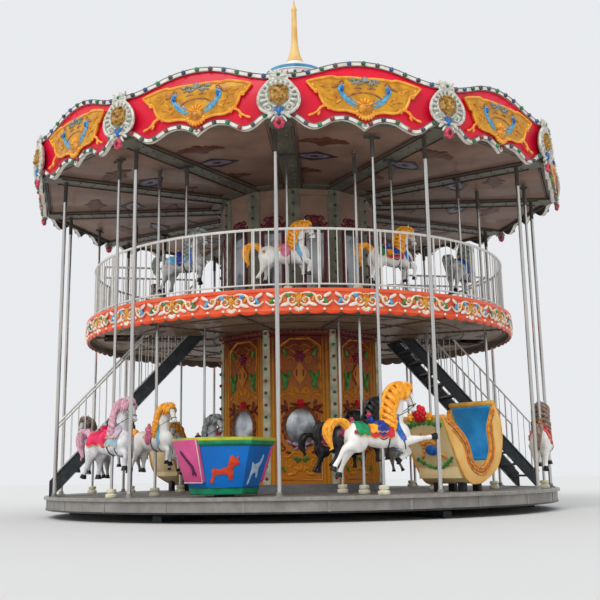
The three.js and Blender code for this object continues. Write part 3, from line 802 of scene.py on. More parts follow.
def makeCrown():
    topLine, lowLine = wholeLine(crownTop), wholeLine(crownLow)
    forward = movedBy(0, crown["depth"] - crownFront, 0)
    field = cutBoard([closedBetween(offsetRun(lowLine, 0.012), offsetRun(topLine, -0.012))], crown["depth"],
                     0.004, 1)
    field.transform(forward)
    panels = paintBack(roundTheBays(field, "crownPanels", "crownRed"), "crownBack")
    proud = -crownFront - crown["stripRise"]
    for name, line, side in (("crownTopStrip", topLine, -1), ("crownLowStrip", lowLine, 1)):
        inner = offsetRun(line, side * crown["strip"])
        strip = cutBoard([line + inner[::-1]], crown["stripRise"] + crown["depth"], 0.006, 1)
        strip.transform(forward)
        paintBack(roundTheBays(strip, name, "trimWhite"), "stripBack")
        beads = [rodAlong(runAt(offsetRun(edge, side * 0.004), proud), 0.008, 4) for edge in (line, inner)]
        roundTheBays(joinMeshes(beads), name + "Edges", "shadowLine")
        points = runAt(offsetRun(line, side * crown["strip"] / 2), proud)
        palette = ["bulbGreen", "bulbDark", "bulbBlue"] if side < 0 else ["bulbGreen", "bulbRed", "bulbDark"]
        for phase, colour in enumerate(palette):
            caps = capsAlong(points, crown["bulbSpacing"], len(palette), phase, colour, name,
                             crown["capTurn"])
            roundTheBays(caps, name + "_" + colour, colour)
    return panels


# Relief on the front of each bay, and on each corner shield
def onBays(parts, name, material, flatten=1.0):
    face = crownFront + crown["boardDepth"]
    return roundTheBays(setRelief(parts, face, flatten=flatten), name, material)


def onShields(parts, name, material):
    return atCorners(setRelief(parts, shield["reach"]), name, material)


def makeCartouche():
    outline = closedBetween(wholeLine(wingLow), wholeLine(wingTop))
    board = cutBoard([outline], crown["boardDepth"], 0.008, 1)
    board.transform(movedBy(0, -crownFront, 0))
    roundTheBays(board, "cartoucheBoards", "cartoucheGold")
    rim = [rodAlong(runAt(outline, 0, floorTop), crown["rimRadius"], 8, True)]
    rim += bothSides([
        leaf(0.73, 5.755, 20, 0.09, 0.05, 0.03), leaf(0.78, 5.83, 60, 0.07, 0.04, 0.028),
        strand([(0.8, 5.385), (0.72, 5.43), (0.665, 5.5), (0.57, 5.53)], 0.021),
        leaf(0.82, 5.375, -20, 0.1, 0.04, 0.02), leaf(0.7, 5.4, -60, 0.08, 0.035, 0.018),
        leaf(0.61, 5.545, 160, 0.09, 0.035, 0.02), scroll(0.555, 5.5, 90, 0.8, 0.04, 0.012, 0.014)])
    rim += petals(0, 5.5, 0.135, 198, 342, 9, 0.075, 0.05, 0.032)
    rim += petals(0, 5.545, 0.095, 30, 150, 5, 0.1, 0.045, 0.03)
    onBays(rim, "cartoucheRims", "cartoucheEdge")
    boss = [ellipsoid((0, 0, 5.5), (0.105, 0.06, 0.095)), leaf(0, 5.545, 0, 0.12, 0.035, 0.07),
            *bothSides([ellipsoid((0.04, -0.045, 5.512), (0.024, 0.018, 0.016), 2),
                        leaf(0.045, 5.47, 30, 0.07, 0.03, 0.066)])]
    boss += bothSides([
        scroll(0.42, 5.655, 200, 1.1, 0.055, 0.015, 0.016), leaf(0.47, 5.7, 50, 0.13, 0.045, 0.022),
        leaf(0.4, 5.6, -30, 0.12, 0.04, 0.02), leaf(0.53, 5.64, 10, 0.1, 0.035, 0.018),
        scroll(0.56, 5.8, 30, -0.9, 0.05, 0.014, 0.014), leaf(0.63, 5.83, 15, 0.12, 0.04, 0.018)])
    onBays(boss, "cartoucheBosses", "carvedGold")
    arcs = bothSides([
        strand([(0.0, 5.765), (0.12, 5.755), (0.21, 5.715), (0.255, 5.68)], 0.014, 0.7),
        strand([(0.04, 5.825), (0.11, 5.84), (0.17, 5.82)], 0.016), leaf(0.37, 5.86, 35, 0.11, 0.05, 0.02),
        leaf(0.45, 5.835, -20, 0.12, 0.045, 0.02), scroll(0.34, 5.9, 0, 0.9, 0.04, 0.01, 0.013)])
    onBays(arcs, "cartoucheArcs", "carvedBrown")
    feathers = bothSides([
        strand([(0.15, 5.55), (0.22, 5.59), (0.3, 5.665), (0.35, 5.75), (0.355, 5.82)], 0.03, 0.4),
        strand([(0.345, 5.7), (0.378, 5.78), (0.36, 5.85), (0.315, 5.86)], 0.034, 0.5),
        strand([(0.13, 5.6), (0.19, 5.64), (0.245, 5.71)], 0.013)])
    onBays(feathers, "featherPlumes", "featherBlue", 0.8)
    quills = bothSides([strand([(0.09, 5.54), (0.18, 5.585), (0.265, 5.665), (0.31, 5.75)], 0.02, 0.5),
                        strand([(0.11, 5.515), (0.21, 5.555), (0.31, 5.63), (0.375, 5.72)], 0.014, 0.5)])
    onBays(quills, "featherQuills", "crestSilver", 0.8)
    onBays(bothSides([ellipsoid((0.352, -0.03, 5.8), (0.03, 0.022, 0.045), 2)]), "featherEyes", "featherDeep")
    crest = petals(0, 5.925, 0.05, 30, 150, 5, 0.1, 0.045, 0.03)
    crest += bothSides([
        scroll(0.115, 5.945, 60, -1.2, 0.05, 0.012, 0.018), leaf(0.19, 5.955, -8, 0.12, 0.05, 0.026),
        leaf(0.075, 5.9, -20, 0.12, 0.04, 0.026), leaf(0.165, 5.905, -25, 0.1, 0.035, 0.022)])
    onBays(crest, "crestScrolls", "crestSilver")


# Shields on the corners: a leafy silver frame, a gold mask, a blue palmette and a rose drop
shield = {"depth": 0.05, "reach": crownRadius + 0.03, "rimRadius": 0.024, "stemHalf": 0.07}
discHalf = [(0, 5.385), (0.12, 5.37), (0.21, 5.4), (0.275, 5.47), (0.3, 5.57), (0.275, 5.69), (0.2, 5.8),
            (0.125, 5.87), (0, 5.915)]


def makeShields():
    half = curveOf(discHalf)
    outline = half + mirrored(half)[1:-1]
    reach, wide = shield["reach"], shield["stemHalf"]
    disc = cutBoard([outline], shield["depth"], 0.02, 3)
    disc.transform(movedBy(0, shield["depth"] - reach, 0))
    stem = boxMesh((-wide, -reach, floorTop + 5.18), (wide, 0.03 - reach, floorTop + 6.0), 0.01)
    atCorners(joinMeshes([disc, stem]), "shieldDiscs", "shieldGrey")
    leafFrame = [rodAlong(runAt(outline, 0, floorTop), shield["rimRadius"], 8, True)]
    leafFrame += petals(0, 5.62, 0.225, -32, 212, 14, 0.12, 0.05, 0.032)
    leafFrame += bothSides([
        strand([(0.0, 5.455), (0.09, 5.49), (0.165, 5.58), (0.175, 5.7), (0.13, 5.8)], 0.02, 0.6),
        scroll(0.15, 5.46, 110, -1.3, 0.06, 0.014, 0.02), leaf(0.13, 5.33, -35, 0.12, 0.055, 0.028),
        leaf(0.085, 5.285, -60, 0.11, 0.04, 0.024), strand([(0.0, 5.89), (0.08, 5.87), (0.12, 5.83)], 0.02)])
    leafFrame += petals(0, 5.93, 0.06, 10, 170, 7, 0.14, 0.05, 0.035)
    leafFrame += bothSides([scroll(0.085, 5.93, -60, 1.2, 0.05, 0.012, 0.02),
                            leaf(0.1, 6.0, 60, 0.12, 0.05, 0.03)])
    onShields(leafFrame, "shieldFrames", "shieldSilver")
    mask = [ellipsoid((0, 0, 5.66), (0.135, 0.05, 0.15)), leaf(0, 5.64, 90, 0.15, 0.05, 0.085),
            ellipsoid((0, -0.05, 5.585), (0.06, 0.045, 0.035)), leaf(0, 5.79, 0, 0.2, 0.05, 0.06),
            *bothSides([leaf(0.065, 5.72, 28, 0.12, 0.04, 0.075),
                        ellipsoid((0.065, -0.035, 5.69), (0.024, 0.024, 0.018), 2),
                        ellipsoid((0.08, -0.02, 5.62), (0.045, 0.04, 0.05), 2),
                        leaf(0.125, 5.74, 75, 0.12, 0.045, 0.04), leaf(0.12, 5.6, 110, 0.11, 0.04, 0.035)])]
    onShields(mask, "shieldMasks", "maskGold")
    palmette = [leaf(0, 5.4, 90, 0.15, 0.07, 0.045), *bothSides([leaf(0.04, 5.42, 65, 0.12, 0.045, 0.04)])]
    onShields(palmette, "shieldPalmettes", "leafBlue")
    drop = [ellipsoid((0, 0, 5.225), (0.075, 0.04, 0.085)),
            *petals(0, 5.22, 0.06, 180, 360, 5, 0.06, 0.04, 0.03)]
    onShields(drop, "shieldDrops", "dropPink")
    onShields([ellipsoid((0, -0.035, 5.225), (0.035, 0.015, 0.045), 2)], "shieldDropHearts", "dropDark")


crownPanels = makeCrown()
makeCartouche()
makeShields()
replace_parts(crownPanels, "crown_1", "crown_2", "crown_3", "crown_4")
print("crown ready")


# Ceiling under the crown: panels between the beams, painted ornaments, trims and dark bulbs
ceiling = {"panelInner": 1.5, "panelOuter": 4.66, "beamHalf": 0.18, "panelThickness": 0.012,
           "plateRise": 0.05, "eyeInner": 2.9, "eyeOuter": 3.36, "eyeHalf": 0.4, "ornamentSide": -0.38,
           "bulbSpacing": 0.24}
flourishLeaves = [(0.0, 90, 0.46, 0.26), (0.17, 25, 0.4, 0.2), (-0.17, 155, 0.4, 0.2), (0.28, -15, 0.3, 0.15),
                  (-0.28, 195, 0.3, 0.15), (0.1, 60, 0.36, 0.18), (-0.1, 120, 0.36, 0.18)]


# Relief drawn in X and radius is laid under a level surface, standing out downwards
def underside(parts, height, flatten=1.0):
    mesh = joinMeshes(parts)
    mesh.transform(movedBy(0, 0, height) @ turnedBy(math.pi / 2, "X") @ scaledBy(1, flatten, 1))
    return mesh


def panelHalf(radius):
    return radius * math.tan(bayAngle / 2) - ceiling["beamHalf"] / math.cos(bayAngle / 2) - 0.004


def makeCeiling():
    inner, outer, side = ceiling["panelInner"], ceiling["panelOuter"], ceiling["ornamentSide"]
    plate = ceilingHeight + ceiling["plateRise"]
    corners = [(-panelHalf(inner), inner), (-panelHalf(outer), outer), (panelHalf(outer), outer),
               (panelHalf(inner), inner)]
    panel = cutBoard([flatPoints(corners)], ceiling["panelThickness"], 0.003, 1)
    roundTheBays(underside([panel], plate), "ceilingPanels", "ceilingPanel")
    lines = [rodAlong([(x, 0, r) for x, r in corners], 0.016, 4, True),
             rodAlong([(x * 0.955, 0, inner + 0.05 + (r - inner) * 0.975) for x, r in corners], 0.007, 4,
                      True)]
    roundTheBays(underside(lines, plate - 0.012), "ceilingLines", "ceilingDark")
    low, high, half = ceiling["eyeInner"], ceiling["eyeOuter"], ceiling["eyeHalf"]
    tall = (high - low) / 2
    middle = (high + low) / 2
    ring = flatPoints([(side - half, middle), (side, high), (side + half, middle), (side, low)])
    turns = [math.tau * i / 24 for i in range(24)]
    hole = flatPoints([(side + 0.27 * math.cos(a), middle + 0.55 * tall * math.sin(a)) for a in turns])
    eye = [cutBoard([ring, hole], 0.012, 0.003), leaf(side, middle, 0, 0.2, 0.55 * tall, 0.014)]
    roundTheBays(underside(eye, plate - 0.01), "ceilingEyes", "ceilingViolet")
    pupil = [leaf(side, middle, 0, 0.56, 1.14 * tall, 0.006, 3)]
    roundTheBays(underside(pupil, plate - 0.012), "ceilingPupils", "ceilingPale")
    flourish = [leaf(side + across * size, radius, angle, length * size, width * size, 0.016)
                for radius, size in ((3.82, 1.0), (2.36, 0.75))
                for across, angle, length, width in flourishLeaves]
    roundTheBays(underside(flourish, plate - 0.01), "ceilingFlourishes", "ceilingRust")
    trims = [rodAlong([(x, 0, 1.5), (x, 0, 4.6)], 0.014, 4) for x in (-0.16, 0.16)]
    atCorners(underside(trims, ceilingHeight - 0.004), "beamTrims", "ceilingDark")
    down = turnedBy(math.pi, "X") @ Matrix.Scale(0.5, 4)
    capLine = ceilingHeight - 0.002
    caps = [capsAlong([(x, -1.6, capLine), (x, -4.5, capLine)], ceiling["bulbSpacing"], 1, 0, "bulbDark",
                      "beamBulbs", down, smallCap) for x in (-0.07, 0.07)]
    atCorners(joinMeshes(caps), "beamBulbs", "bulbDark")
    brackets = [boxMesh((-0.13, -0.02, -0.05), (0.13, 0.02, -0.008), 0.006),
                boxMesh((-0.02, -0.06, -0.05), (0.02, 0.06, -0.008), 0.006)]
    tops = [(poleReach["outer"], a) for a in horseAngles] + [(poleReach["upper"], a) for a in upperAngles]
    whole = [(mesh, Matrix.Translation(onCircle(reach, turn, ceilingHeight)) @ turnedBy(turn))
             for reach, turn in tops for mesh in brackets]
    place(joinMeshes(whole), "poleBrackets", "ironDark")


makeCeiling()
print("ceiling ready")


# Roof skin: panels with raised seams and a bulb row, a cupola drum with a lit ring, and the spire
roof = {"foot": 4.895, "footHeight": 6.3, "head": 0.68, "headHeight": 8.17, "seam": 0.022, "rib": 0.012}


def makeRoof():
    ribs = []
    for offset in (-0.5, -0.17, 0.17):
        seam = offset == -0.5
        top = onCircle(roof["head"] + 0.01, offset * bayAngle, roof["headHeight"] + 0.01)
        reach = roof["foot"] if seam else roof["foot"] * math.cos(bayAngle / 2) / math.cos(offset * bayAngle)
        foot = onCircle(reach - 0.03, offset * bayAngle, roof["footHeight"] + 0.02)
        ribs.append(rodAlong([foot, foot.lerp(top, 0.5), top], roof["seam"] if seam else roof["rib"], 8))
    roundTheBays(joinMeshes(ribs), "roofSeams", "trimWhite")
    slope = Vector((0, roof["head"] - roof["foot"], roof["footHeight"] - roof["headHeight"]))
    start = onCircle(roof["foot"] - 0.05, 0, roof["footHeight"] + 0.045)
    caps = capsAlong([start, start - slope * 0.93], 0.3, 1, 0, "bulbGreen", "roofBulbs", Matrix())
    atCorners(caps, "roofBulbs", "bulbGreen")


# Profiles of (radius, height) above the foot of the cupola, and above the foot of the spire
cupola = {"base": 8.17, "ringBulbs": 24, "ringReach": 0.605, "ringRise": 0.11, "spireRise": 0.52}
drumProfile = [(0, 0.002), (0.6, 0.002), (0.62, 0.015), (0.625, 0.04), (0.605, 0.055), (0.605, 0.165),
               (0.625, 0.18), (0.62, 0.2), (0.585, 0.215), (0, 0.215)]
bandProfile = [(0, 0.213), (0.575, 0.213), (0.588, 0.228), (0.588, 0.272), (0.575, 0.287), (0, 0.287)]
flareProfile = [(0, 0.286), (0.555, 0.286), (0.54, 0.302), (0.46, 0.325), (0.385, 0.36), (0.31, 0.405),
                (0.255, 0.455), (0.215, 0.505), (0.2, 0.52), (0, 0.52)]
spireProfile = [(0, 0), (0.185, 0), (0.192, 0.012), (0.18, 0.03), (0.158, 0.07), (0.132, 0.13), (0.112, 0.2),
                (0.095, 0.27), (0.083, 0.34), (0.073, 0.43), (0.066, 0.54), (0.06, 0.68), (0.056, 0.84),
                (0.052, 1.04), (0.05, 1.14), (0.058, 1.16), (0.06, 1.19), (0.05, 1.22), (0.034, 1.26),
                (0.02, 1.31), (0.012, 1.38), (0, 1.425)]


def makeCupola():
    def turnUp(profile, name, material, foot=cupola["base"], steps=96):
        return place(turnedProfile([(r, foot + z) for r, z in profile], steps), name, material)

    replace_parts(turnUp(drumProfile, "cupolaDrum", "cupolaWhite"), "cupola")
    turnUp(bandProfile, "cupolaBand", "cupolaBlue")
    turnUp(flareProfile, "cupolaFlare", "cupolaWhite")
    step = math.tau / cupola["ringBulbs"]
    for phase, colour in enumerate(("bulbGreen", "bulbRed")):
        cap = capShape.copy()
        cap.transform(movedBy(0, -cupola["ringReach"], cupola["base"] + cupola["ringRise"])
                      @ turnedBy(math.pi / 2, "X"))
        aroundAxis(cap, "cupola_" + colour, colour, cupola["ringBulbs"] // 2, phase * step, 2 * step)
    spireFoot = cupola["base"] + cupola["spireRise"] + 0.002
    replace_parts(turnUp(spireProfile, "spireFinial", "spireGold", spireFoot, 48), "spire")


makeRoof()
makeCupola()
print("roof and spire ready")


# Deck: railing, fascia with its carved garlands, and the panelled underside
deck = {"railRadius": 3.79, "railTop": deckTop + 0.965, "lowRail": deckTop + 0.082, "balusters": 182,
        "fasciaRadius": 3.9, "underside": floorTop + 2.75, "garlands": 24, "scallops": 96}


def circleLine(radius, height, steps=144):
    return [onCircle(radius, math.tau * i / steps, height) for i in range(steps)]


def makeRailing():
    reach, railTop = deck["railRadius"], deck["railTop"]
    bars = [rodAlong(circleLine(reach, railTop - 0.022), 0.022, 8, True),
            rodAlong(circleLine(reach, deck["lowRail"]), 0.014, 8, True)]
    top = place(joinMeshes(bars), "deckRails", "railWhite", smooth=60)
    baluster = rodAlong([(0, -reach, deckTop + 0.08), (0, -reach, railTop - 0.03)], 0.0085, 8)
    aroundAxis(baluster, "deckBalusters", "railWhite", deck["balusters"], cornerAngle(0),
               math.tau / deck["balusters"])
    post = [(0, 0), (0.035, 0), (0.035, 0.008), (0.017, 0.012), (0.015, 0.9), (0.017, 0.93), (0, 0.94)]
    stem = turnedProfile(post, 12)
    stem.transform(movedBy(0, -reach, deckTop + 0.0005))
    aroundAxis(stem, "deckPosts", "railWhite", 2 * bayCount, cornerAngle(0.25), bayAngle / 2)
    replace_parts(top, "deck_railing_1", "deck_railing_2", "deck_railing_3", "deck_railing_4")


# A closed section of (radius, height) swept round the axis
def closedRing(profile, steps):
    kit = bmesh.new()
    rings = [[kit.verts.new(onCircle(r, math.tau * i / steps, z)) for r, z in profile] for i in range(steps)]
    for i in range(steps):
        near, far = rings[i], rings[(i + 1) % steps]
        for j in range(len(profile)):
            k = (j + 1) % len(profile)
            kit.faces.new((near[j], far[j], far[k], near[k]))
    return tidyMesh(meshFrom(kit, "ring"))


# Relief repeated along the fascia, on every garland or on every second one
def alongFascia(parts, name, material, every=1, start=0):
    step = math.tau / deck["garlands"]
    mesh = setRelief(parts, deck["fasciaRadius"] + 0.004, fasciaBottom)
    aroundAxis(mesh, name, material, deck["garlands"] // every, start * step, every * step)


def makeFascia():
    reach, flat = deck["fasciaRadius"], fasciaBottom
    section = [(-0.042, flat + 0.002), (-0.004, flat + 0.002), (0.012, flat + 0.015), (0.012, flat + 0.045),
               (-0.002, flat + 0.06), (-0.002, deckTop - 0.07), (0.016, deckTop - 0.055),
               (0.022, deckTop - 0.02), (0.016, deckTop - 0.001), (-0.042, deckTop - 0.001)]
    ring = closedRing([(reach + out, z) for out, z in section], 144)
    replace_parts(paintBack(place(ring, "fasciaBand", "fasciaOrange"), "fasciaBack"), "deck_fascia")
    white = bothSides([
        scroll(0.1, 0.17, 200, 1.25, 0.085, 0.02, 0.02), scroll(0.31, 0.2, -20, -1.2, 0.07, 0.016, 0.018),
        strand([(0.02, 0.27), (0.13, 0.285), (0.24, 0.25), (0.3, 0.13), (0.42, 0.1), (0.5, 0.16)], 0.02, 0.5),
        leaf(0.2, 0.11, -20, 0.16, 0.06, 0.02), leaf(0.43, 0.25, 30, 0.14, 0.055, 0.02)])
    white += petals(0, 0.075, 0.05, 200, 340, 7, 0.07, 0.035, 0.02)
    alongFascia(white, "fasciaScrolls", "fasciaWhite")
    gold = [ellipsoid((0, 0, 0.18), (0.055, 0.03, 0.075)),
            *petals(0, 0.18, 0.09, 0, 330, 12, 0.07, 0.035, 0.02)]
    gold += bothSides([leaf(0.3, 0.2, 0, 0.07, 0.07, 0.025), leaf(0.22, 0.2, 70, 0.12, 0.04, 0.018)])
    alongFascia(gold, "fasciaGold", "carvedGold")
    pair = bothSides([leaf(0.16, 0.245, 40, 0.14, 0.06, 0.022), leaf(0.4, 0.165, -60, 0.13, 0.055, 0.022)])
    alongFascia(pair, "fasciaLeaves", "leafGreen", 2)
    alongFascia(pair, "fasciaPlumes", "featherBlue", 2, 1)
    wave = math.tau / deck["scallops"]
    lobe = setRelief([leaf(0, 0.012, 0, reach * wave * 1.02, 0.09, 0.022)], reach - 0.01, flat)
    paintBack(aroundAxis(lobe, "fasciaScallops", "fasciaRed", deck["scallops"], 0.0, wave), "fasciaBack")
    cap = capShape.copy()
    cap.transform(movedBy(0, -reach - 0.008, flat + 0.035) @ turnedBy(math.pi / 2, "X")
                  @ scaledBy(0.7, 0.7, 0.7))
    aroundAxis(cap, "fasciaBulbs", "bulbWarm", deck["scallops"], wave / 2, wave)


def makeUnderside():
    height = deck["underside"]
    turn = 0.02
    trims = [rodAlong(circleLine(r, height - 0.004, 96), 0.012, 4, True) for r in (1.62, 2.35, 3.05, 3.76)]
    place(joinMeshes(trims), "undersideRings", "undersideTrim", smooth=60)
    spoke = rodAlong([(0, -1.6, height - 0.004), (0, -3.8, height - 0.004)], 0.016, 4)
    aroundAxis(spoke, "undersideSpokes", "undersideTrim", first=cornerAngle(0.5) + turn)
    down = turnedBy(math.pi, "X") @ Matrix.Scale(0.55, 4)
    lines = [[(x, -1.7, height - 0.002), (x, -3.7, height - 0.002)] for x in (-0.07, 0.07)]
    caps = [capsAlong(points, 0.13, 1, 0, "bulbDark", "undersideBulbs", down, smallCap) for points in lines]
    aroundAxis(joinMeshes(caps), "undersideBulbs", "bulbDark", first=cornerAngle(0.5) + turn)
    relief = bothSides([scroll(0.12, 2.75, 0, 1.1, 0.1, 0.02, 0.022), leaf(0.22, 2.9, 40, 0.22, 0.08, 0.016),
                        leaf(0.1, 3.38, 60, 0.2, 0.08, 0.016), leaf(0.28, 3.42, 20, 0.2, 0.07, 0.016)])
    relief.append(leaf(0, 3.4, 90, 0.26, 0.12, 0.016))
    aroundAxis(underside(relief, height - 0.001, 0.5), "undersideRelief", "undersideRelief",
               first=cornerAngle(0) + turn)


makeRailing()
makeFascia()
makeUnderside()
print("deck ready")


# Horses: drawn in metres about the pole at the middle of the body, heading +X, their outer side towards -Y
horseForm = {"voxel": 0.013, "faces": 5600, "middle": 0.04}
legPaths = {
    "gallop": [[(0.25, -0.04), (0.52, -0.005), (0.76, 0.025)], [(0.25, -0.04), (0.43, -0.19), (0.25, -0.31)],
               [(-0.4, -0.04), (-0.59, -0.14), (-0.77, -0.42)],
               [(-0.4, -0.04), (-0.52, -0.25), (-0.64, -0.5)]],
    "prance": [[(0.24, -0.05), (0.43, -0.11), (0.4, -0.34)], [(0.24, -0.05), (0.29, -0.2), (0.29, -0.37)],
               [(-0.4, -0.04), (-0.47, -0.23), (-0.6, -0.44)],
               [(-0.4, -0.04), (-0.41, -0.24), (-0.45, -0.46)]],
}
crestLine = [(0.4, 0.725), (0.33, 0.775), (0.235, 0.775), (0.145, 0.735), (0.08, 0.655), (0.04, 0.555),
             (0.02, 0.45), (0.01, 0.35), (-0.005, 0.265)]
neckLine = [(0.395, 0.66), (0.33, 0.68), (0.275, 0.66), (0.225, 0.605), (0.2, 0.52), (0.185, 0.44),
            (0.175, 0.35), (0.165, 0.27), (0.15, 0.2)]
tailLine = [(-0.47, 0.1), (-0.57, 0.225), (-0.69, 0.255), (-0.79, 0.17), (-0.805, 0.03), (-0.745, -0.13)]


# A tapering limb through stations of x, y, z and radius
def limb(stations, sides=12, flatten=1.0, steps=3):
    run = smoothRun(stations, steps)
    mesh = rodAlong([tuple(p)[:3] for p in run], [p[3] for p in run], sides)
    middle = stations[len(stations) // 2][1]
    mesh.transform(movedBy(0, middle, 0) @ scaledBy(1, flatten, 1)
                   @ movedBy(0, -middle, 0))
    return mesh


# Grows overlapping forms into one skin
def fuse(parts, voxel, faces, name, iterations=4):
    obj = linkMesh(joinMeshes(parts), name)
    remesh = obj.modifiers.new("skin", "REMESH")
    remesh.mode = "VOXEL"
    remesh.voxel_size = voxel
    obj.modifiers.new("soften", "SMOOTH").iterations = iterations
    skin = bakedMesh(obj)
    return thinned(skin, min(1.0, faces / max(1, 2 * len(skin.polygons))))


# A prancing horse carries its neck and head lower than a galloping one
def lowerNeck(mesh, pace):
    if pace == "prance":
        for vertex in mesh.vertices:
            if vertex.co.z > 0.2 and vertex.co.x > -0.02:
                vertex.co.z = 0.2 + (vertex.co.z - 0.2) * 0.85
    return mesh


def legSide(index):
    return -0.085 if index % 2 == 0 else 0.085


def horseBody(pace):
    parts = [ellipsoid((0.25, 0, 0.05), (0.175, 0.145, 0.195)),
             ellipsoid((0.0, 0, 0.045), (0.34, 0.165, 0.178)),
             ellipsoid((-0.36, 0, 0.055), (0.205, 0.165, 0.185)),
             ellipsoid((0.1, 0, 0.16), (0.14, 0.1, 0.11)),
             limb([(0.13, 0, 0.1, 0.165), (0.185, 0, 0.26, 0.142), (0.21, 0, 0.42, 0.124),
                   (0.24, 0, 0.56, 0.108), (0.3, 0, 0.665, 0.088)], 16, 0.8),
             ellipsoid((0.335, 0, 0.685), (0.085, 0.072, 0.075)),
             ellipsoid((0.385, 0, 0.62), (0.085, 0.066, 0.095)),
             limb([(0.35, 0, 0.69, 0.066), (0.425, 0, 0.61, 0.068), (0.468, 0, 0.5, 0.054),
                   (0.495, 0, 0.415, 0.05)], 12, 0.86), ellipsoid((0.495, 0, 0.415), (0.052, 0.05, 0.045)),
             ellipsoid((0.45, 0, 0.425), (0.035, 0.036, 0.032))]
    for side in (-1, 1):
        parts += [ellipsoid((0.335, side * 0.05, 0.795), (0.02, 0.014, 0.05), 2, turnedBy(0.25 * -side, "X")),
                  ellipsoid((0.425, side * 0.052, 0.655), (0.032, 0.02, 0.02), 2),
                  ellipsoid((0.27, side * 0.085, 0.0), (0.11, 0.075, 0.16)),
                  ellipsoid((-0.39, side * 0.085, -0.01), (0.155, 0.085, 0.185))]
    for index, (hip, knee, hoof) in enumerate(legPaths[pace]):
        y = legSide(index)
        hip, knee, hoof = Vector(hip), Vector(knee), Vector(hoof)
        fore = index < 2
        stations = []
        for spot, radius in ((hip, 0.095 if fore else 0.115), (hip.lerp(knee, 0.5), 0.07 if fore else 0.082),
                             (knee, 0.047 if fore else 0.052), (knee.lerp(hoof, 0.45), 0.033),
                             (knee.lerp(hoof, 0.82), 0.04), (knee.lerp(hoof, 0.93), 0.034)):
            stations.append((spot.x, y, spot.y, radius))
        parts.append(limb(stations))
    return lowerNeck(fuse(parts, horseForm["voxel"], horseForm["faces"], "horseSkin"), pace)


def hooves(pace):
    parts = []
    for index, (_, knee, hoof) in enumerate(legPaths[pace]):
        y = legSide(index)
        along = (Vector(hoof) - Vector(knee)).normalized()
        root = Vector(hoof) - along * 0.055
        tip = Vector(hoof) + along * 0.015 + Vector((0.012, 0))
        parts.append(rodAlong([(root.x, y, root.y), (tip.x, y, tip.y)], [0.037, 0.054], 12))
    return parts


def maneLocks(chance):
    parts = [limb([(x, 0, z, 0.042 if 0 < i < 8 else 0.026) for i, (x, z) in enumerate(crestLine)], 10, 0.9)]
    for i, (crest, middle) in enumerate(zip(crestLine, neckLine)):
        for side in (-1, 1):
            top, low = Vector(crest), Vector(middle)
            wide = 0.075 if i < 2 else 0.108 + 0.012 * (i > 5)
            sway = chance.uniform(-0.02, 0.02)
            way = low - top
            stations = [(top.x, 0.01 * side, top.y, 0.03)]
            for t, y, radius in ((0.28, 0.75, 0.043), (0.62, 1.05, 0.047), (0.92, 1.12, 0.038)):
                spot = top + way * t
                stations.append((spot.x + sway * t, side * wide * y, spot.y - 0.055 * t, radius))
            end = top + way * 1.02
            stations.append((end.x + sway - 0.045, side * wide * 1.1, end.y - 0.105, 0.021))
            stations.append((end.x + sway - 0.075, side * wide * 1.12, end.y - 0.075, 0.01))
            parts.append(limb(stations, 8, 1.0, 2))
    for side in (-1, 1):
        under = [Vector(crest).lerp(Vector(middle), 0.55) for crest, middle in zip(crestLine, neckLine)][1:]
        parts.append(limb([(p.x, side * (0.062 + 0.004 * i), p.y - 0.03, 0.052)
                           for i, p in enumerate(under)], 10, 0.8))
    for side in (-1, 0, 1):
        parts.append(limb([(0.34, side * 0.02, 0.775, 0.03), (0.405, side * 0.03, 0.775, 0.034),
                           (0.45, side * 0.036, 0.725, 0.028), (0.462, side * 0.04, 0.675, 0.014)], 8, 1.0,
                          2))
    return parts


def tailLocks(chance):
    run = smoothRun(tailLine, 3)
    last = len(run) - 1
    parts = []
    for k in range(6):
        start = math.tau * k / 6
        points, radii = [], []
        for i, spot in enumerate(run):
            t = i / last
            spread = 0.012 + 0.05 * math.sin(math.pi * min(1.0, 0.15 + t * 0.85)) * (1 if k else 0)
            turn = start + 2.4 * t
            points.append((spot.x + spread * math.cos(turn), 0.9 * spread * math.sin(turn), spot.y))
            radii.append(0.034 * math.sin(math.pi * (0.18 + 0.74 * t)) + 0.004)
        points.append((points[-1][0] - 0.03, points[-1][1] * 1.4, points[-1][2] + chance.uniform(-0.07, 0.0)))
        radii.append(0.006)
        parts.append(rodAlong(points, radii, 8))
    return parts


# Two matching grids of points closed into a shell
def gridShell(outer, inner):
    kit = bmesh.new()
    near = [[kit.verts.new(p) for p in row] for row in outer]
    far = [[kit.verts.new(p) for p in row] for row in inner]
    rows, columns = len(outer), len(outer[0])
    for i in range(rows - 1):
        for j in range(columns - 1):
            kit.faces.new((near[i][j], near[i + 1][j], near[i + 1][j + 1], near[i][j + 1]))
            kit.faces.new((far[i][j], far[i][j + 1], far[i + 1][j + 1], far[i + 1][j]))
    rim = ([(0, j) for j in range(columns)] + [(i, columns - 1) for i in range(1, rows)]
           + [(rows - 1, j) for j in range(columns - 2, -1, -1)] + [(i, 0) for i in range(rows - 2, 0, -1)])
    for a, b in zip(rim, rim[1:] + rim[:1]):
        kit.faces.new((near[a[0]][a[1]], near[b[0]][b[1]], far[b[0]][b[1]], far[a[0]][a[1]]))
    return tidyMesh(meshFrom(kit, "shell"))


def bodyTree(mesh):
    kit = bmesh.new()
    kit.from_mesh(mesh)
    tree = BVHTree.FromBMesh(kit)
    kit.free()
    return tree


# A point on the horse's skin: the angle is measured from the spine, towards +Y
def onSkin(tree, x, angle, lift, lean=0.0):
    way = Vector((0, math.sin(angle), math.cos(angle)))
    start = Vector((x + lean * math.cos(angle), 0, horseForm["middle"])) + way * 0.34
    spot = tree.ray_cast(start, -way)[0]
    return (spot or start - way * 0.17) + way * lift


